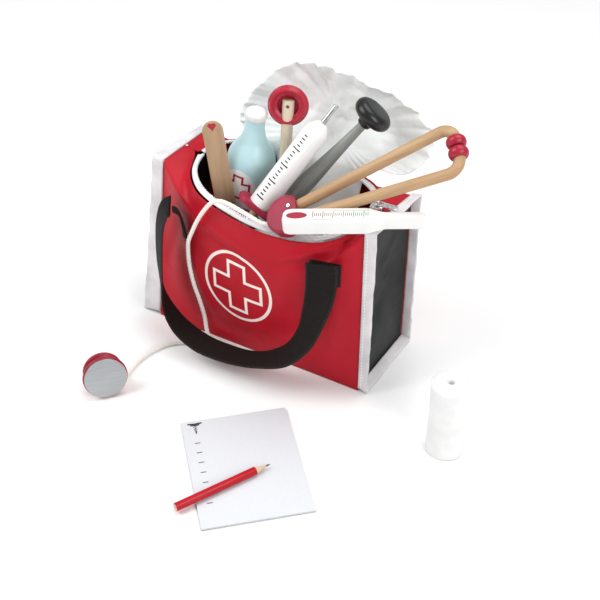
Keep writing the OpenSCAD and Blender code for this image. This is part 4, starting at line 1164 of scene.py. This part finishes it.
# ---------- Thermometer ----------
# A flat white-lacquered board with a narrow tail. Its face is printed with a fine scale
# that runs from dark red to green, between two lines, and a red oval bulb at the broad end.
thermo_at, thermo_axis = (52.85, -68.85, 174.7), (0.904, 0.421, 0.076)
thermo_across = Vector((0, 0, 1)).cross(Vector(thermo_axis).normalized())
bulb_at, bulb_half, bulb_wide = 0.0115, 0.0085, 0.0048
mark_from, mark_pitch, mark_aside = 0.0245, 0.00165, 0.0008
mark_short, mark_longer = 0.0024, 0.0022
rail_off, rail_end, scale_from, scale_to, tail_end = 0.0064, 0.070, 0.0232, 0.0705, 0.075


def turned_up(material):
    """How far a face looks upwards, from -1 to 1."""
    return axes(material, add(material, "NewGeometry").outputs["Normal"])[2]


in_thermometer = own_axes(thermo_at, thermo_axis, thermo_across)
board_white, board_tone = lacquer("thermometer_white", (0.83, 0.83, 0.81), (0.79, 0.79, 0.77),
                                  0.34, where=in_thermometer)
x, y, z = axes(board_white, in_thermometer(board_white))
face_up = turned_up(board_white) > 0.7
bulb_x, bulb_z = x / bulb_wide, (z - bulb_at) / bulb_half
bulb = fade(bulb_x * bulb_x + bulb_z * bulb_z, 0.95, 1.05)
marks = (z - mark_from) / mark_pitch
mark = fade(off_mark(marks), 0.16, 0.24) * (
    abs(x - mark_aside) < every_fifth(marks) * mark_longer + mark_short)
rails = fade(abs(abs(x) - rail_off), 0.00012, 0.0003) * (z < rail_end)
scale_zone = (z > scale_from) * (z < scale_to)
scale_tone = shades(z / tail_end, (0.30, (0.30, 0.03, 0.05)), (0.60, (0.22, 0.20, 0.14)),
                    (0.85, (0.05, 0.26, 0.16)))
board_tone = printed(board_tone, scale_tone, mark.larger(rails) * scale_zone * face_up)
dress(board_white, printed(board_tone, (0.36, 0.03, 0.06), bulb * face_up))
softened("thermometer", "thermometer_board", "thermometer", 0.0011, board_white)

# ---------- Stethoscope ----------
# Two steam-bent beech arms turn on steel pins in a slot of the round crimson block, with
# round red beads pressed on their bent ends. The cord leaves from the block's back.
block_at, arms_along, arms_apart = (40, -41, 160), (0.809, 0.308, 0.501), (-0.554, 0.685, 0.474)
arm_wood, _ = wood("bent_beech", own_axes(block_at, arms_along, arms_apart),
                   (0.52, 0.34, 0.19), (0.41, 0.25, 0.13), 0.42, 0.8)
softened("stethoscope_arm_back", "stethoscope_arm_back_bent", "arm_back", 0.0006, arm_wood)
softened("stethoscope_arm_front", "stethoscope_arm_front_bent", "arm_front", 0.0006, arm_wood)
softened("stethoscope_block", "stethoscope_block_turned", "bag", 0.0014, crimson)
bead_red, _ = lacquer("bead_red_lacquer", (0.42, 0.020, 0.050), (0.34, 0.014, 0.034), 0.30, 0.2)
softened("ear_tip_back", "ear_bead_back", "arm_back", 0.0006, bead_red)
softened("ear_tip_front", "ear_bead_front", "arm_front", 0.0006, bead_red)
repaint("stethoscope_pins", steel)

# The chest piece: a red wooden spool with a disc of satin aluminium glued on its face.
in_chest = own_axes((-74, -163, 20.5), (0.757, -0.623, 0.176), (0, 0, 1))
spool_red, _ = lacquer("spool_red_lacquer", (0.34, 0.014, 0.036), (0.24, 0.010, 0.028),
                       0.34, 0.12, in_chest)
softened("chest_spool", "chest_spool_turned", "bag", 0.0007, spool_red)
disc_metal = new_material("satin_aluminium", (0.40, 0.42, 0.43), 0.45, metallic=0.75)
brushed = cloudy(disc_metal, drawn_out(disc_metal, in_chest(disc_metal), (1, 0.04, 1)), 900, 2)
dress(disc_metal, shades(brushed, (0.3, (0.36, 0.38, 0.39)), (0.7, (0.44, 0.46, 0.47))),
      relief(brushed, 0.08, 0.0002), brushed * 0.18 + 0.32)
softened("chest_disc", "chest_disc_aluminium", "bag", 0.0004, disc_metal)

# ---------- Note pad ----------
# A glued pad of smooth white paper on a grey card. The top sheet has a column of short
# dashes, and a staff with two snakes and wings at its top left corner.
pad_middle, pad_turn = (78.5, -173.5, 0), math.radians(43)
dash_from, dash_pitch, last_dash, dash_x, dash_half = 0.0335, 0.0115, 6.4, -0.0352, 0.0023
staff_x, staff_y, staff_half = -0.0345, 0.0515, 0.0064
snake_turns, snake_wide, snake_wider = 1150.0, 0.0013, 0.14
wing_at, wing_rise, wing_half, wing_reach = 0.0052, 0.12, 0.0006, 0.0058
low_wing_drop, low_wing_half, low_wing_reach = 0.0017, 0.0004, 0.0036

paper = new_material("pad_paper", (0.66, 0.67, 0.70), 0.6, 0.15)
paper_at = own_axes(pad_middle, (0, 0, 1), (math.cos(pad_turn), math.sin(pad_turn), 0))(paper)
paper_x, paper_y, _ = axes(paper, paper_at)
paper_fibre = cloudy(paper, paper_at, 300, 4, 0.6)
paper_tone = shades(paper_fibre, (0.3, (0.645, 0.665, 0.695)), (0.7, (0.665, 0.685, 0.715)))
down = (paper_y - dash_from) / -dash_pitch
dash = (fade(off_mark(down), 0.03, 0.05) * ((down > -0.3) * (down < last_dash))
        * fade(abs(paper_x - dash_x), dash_half, dash_half + 0.0002))
x, y = paper_x - staff_x, paper_y - staff_y
staff = abs(x)
snake = (y * snake_turns).calc("SINE") * (y * snake_wider + snake_wide)
rod = abs(x - snake).smaller(abs(x + snake)).smaller(staff + 0.0001).larger(abs(y) - staff_half)
wing_y = y - (staff * wing_rise + wing_at)
wing = (abs(wing_y) - wing_half).larger(staff - wing_reach)
low_wing = (abs(wing_y + low_wing_drop) - low_wing_half).larger(staff - low_wing_reach)
emblem = fade(rod.smaller(wing.smaller(low_wing)), 0.0002, 0.00045)
upward = turned_up(paper) > 0.5
sheet_edges = bands(paper, paper_at, 1600.0, "Z")
paper_tone = printed((0.49, 0.50, 0.52), paper_tone, upward.larger(sheet_edges))
dress(paper, printed(paper_tone, (0.03, 0.03, 0.035), dash.larger(emblem) * upward),
      relief(paper_fibre, 0.08, 0.0002))
softened("pad_sheets", "pad_paper_sheets", "pad", 0.00015, paper, 2)
card = new_material("grey_card", (0.52, 0.52, 0.51), 0.8)
card_fibre = cloudy(card, own_place(card), 500, 4, 0.65)
dress(card, shades(card_fibre, (0.3, (0.44, 0.44, 0.43)), (0.7, (0.60, 0.60, 0.58))),
      relief(card_fibre, 0.2, 0.0002))
softened("pad_board", "pad_card_board", "pad", 0.00015, card, 2)

# ---------- Pencil ----------
# A short hexagonal pencil in glossy red lacquer, sharpened to a pale wooden cone with a
# graphite point; the cut end shows the wood and the lead.
pencil_turn, pencil_end = math.radians(63.3), (58, -244, 5.7)
lead_radius, bare_radius, paint_from = 0.0010, 0.0031, 0.00022
in_pencil = own_axes(pencil_end, (math.cos(pencil_turn), math.sin(pencil_turn), 0), (0, 0, 1))
pencil_red, pencil_tone = lacquer("pencil_red_lacquer", (0.50, 0.012, 0.022),
                                  (0.42, 0.008, 0.016), 0.24, 0.3, in_pencil)
x, y, z = axes(pencil_red, in_pencil(pencil_red))
off = far_from(x, y)
end_tone = printed((0.62, 0.45, 0.30), (0.06, 0.06, 0.065),
                   fade(off, lead_radius, lead_radius + 0.0001))
dress(pencil_red, printed(pencil_tone, end_tone, (z < paint_from) * (off < bare_radius)))
softened("pencil_body", "pencil_shaft", "pencil", 0.0004, pencil_red)
cone_wood, _ = wood("pencil_cone_wood", in_pencil, (0.72, 0.56, 0.42), (0.60, 0.43, 0.30), 0.7,
                    2.0)
softened("pencil_point", "pencil_cone", "pencil", 0.0001, cone_wood)
graphite = new_material("graphite", (0.07, 0.07, 0.075), 0.35, metallic=0.3)
graphite_grain = cloudy(graphite, own_place(graphite), 900, 3)
dress(graphite, shades(graphite_grain, (0.3, (0.05, 0.05, 0.055)), (0.7, (0.10, 0.10, 0.105))),
      relief(graphite_grain, 0.2, 0.0001))
repaint("pencil_lead", graphite)

# ---------- Bandage roll ----------
# A narrow roll of white gauze, wound tight on itself round a small hole. Its turns show at
# the top, its fine weave on the side, and the loose end lies along it.
roll_middle, roll_top = (211, -69, 0), 0.0733
per_millimetre, threads_round = 6283.0, 105.0     # radians a metre, and threads round the roll
gauze = new_material("white_gauze", (0.84, 0.84, 0.83), 0.85, sheen_weight=0.25)
gauze_at = own_axes(roll_middle, (0, 0, 1))(gauze)
x, y, z = axes(gauze, gauze_at)
gauze_turn = y.calc("ARCTAN2", x)
winding = (far_from(x, y) * per_millimetre + gauze_turn).calc("SINE")
on_top = z > roll_top
weft = (z * per_millimetre).calc("SINE") * (gauze_turn * threads_round).calc("SINE")
gauze_cloud = cloudy(gauze, gauze_at, 45, 3)
gauze_tone = shades(gauze_cloud, (0.3, (0.78, 0.78, 0.78)), (0.7, (0.89, 0.89, 0.88)))
dress(gauze, printed(gauze_tone, (0.55, 0.55, 0.55), (winding > 0.4) * on_top * 0.35),
      relief(winding, on_top * 0.5, 0.0004,
             relief(weft, 0.35, 0.0003, relief(gauze_cloud, 0.3, 0.003))))
softened("bandage_roll", "bandage_gauze_roll", "bandage_roll", 0.0007, gauze)
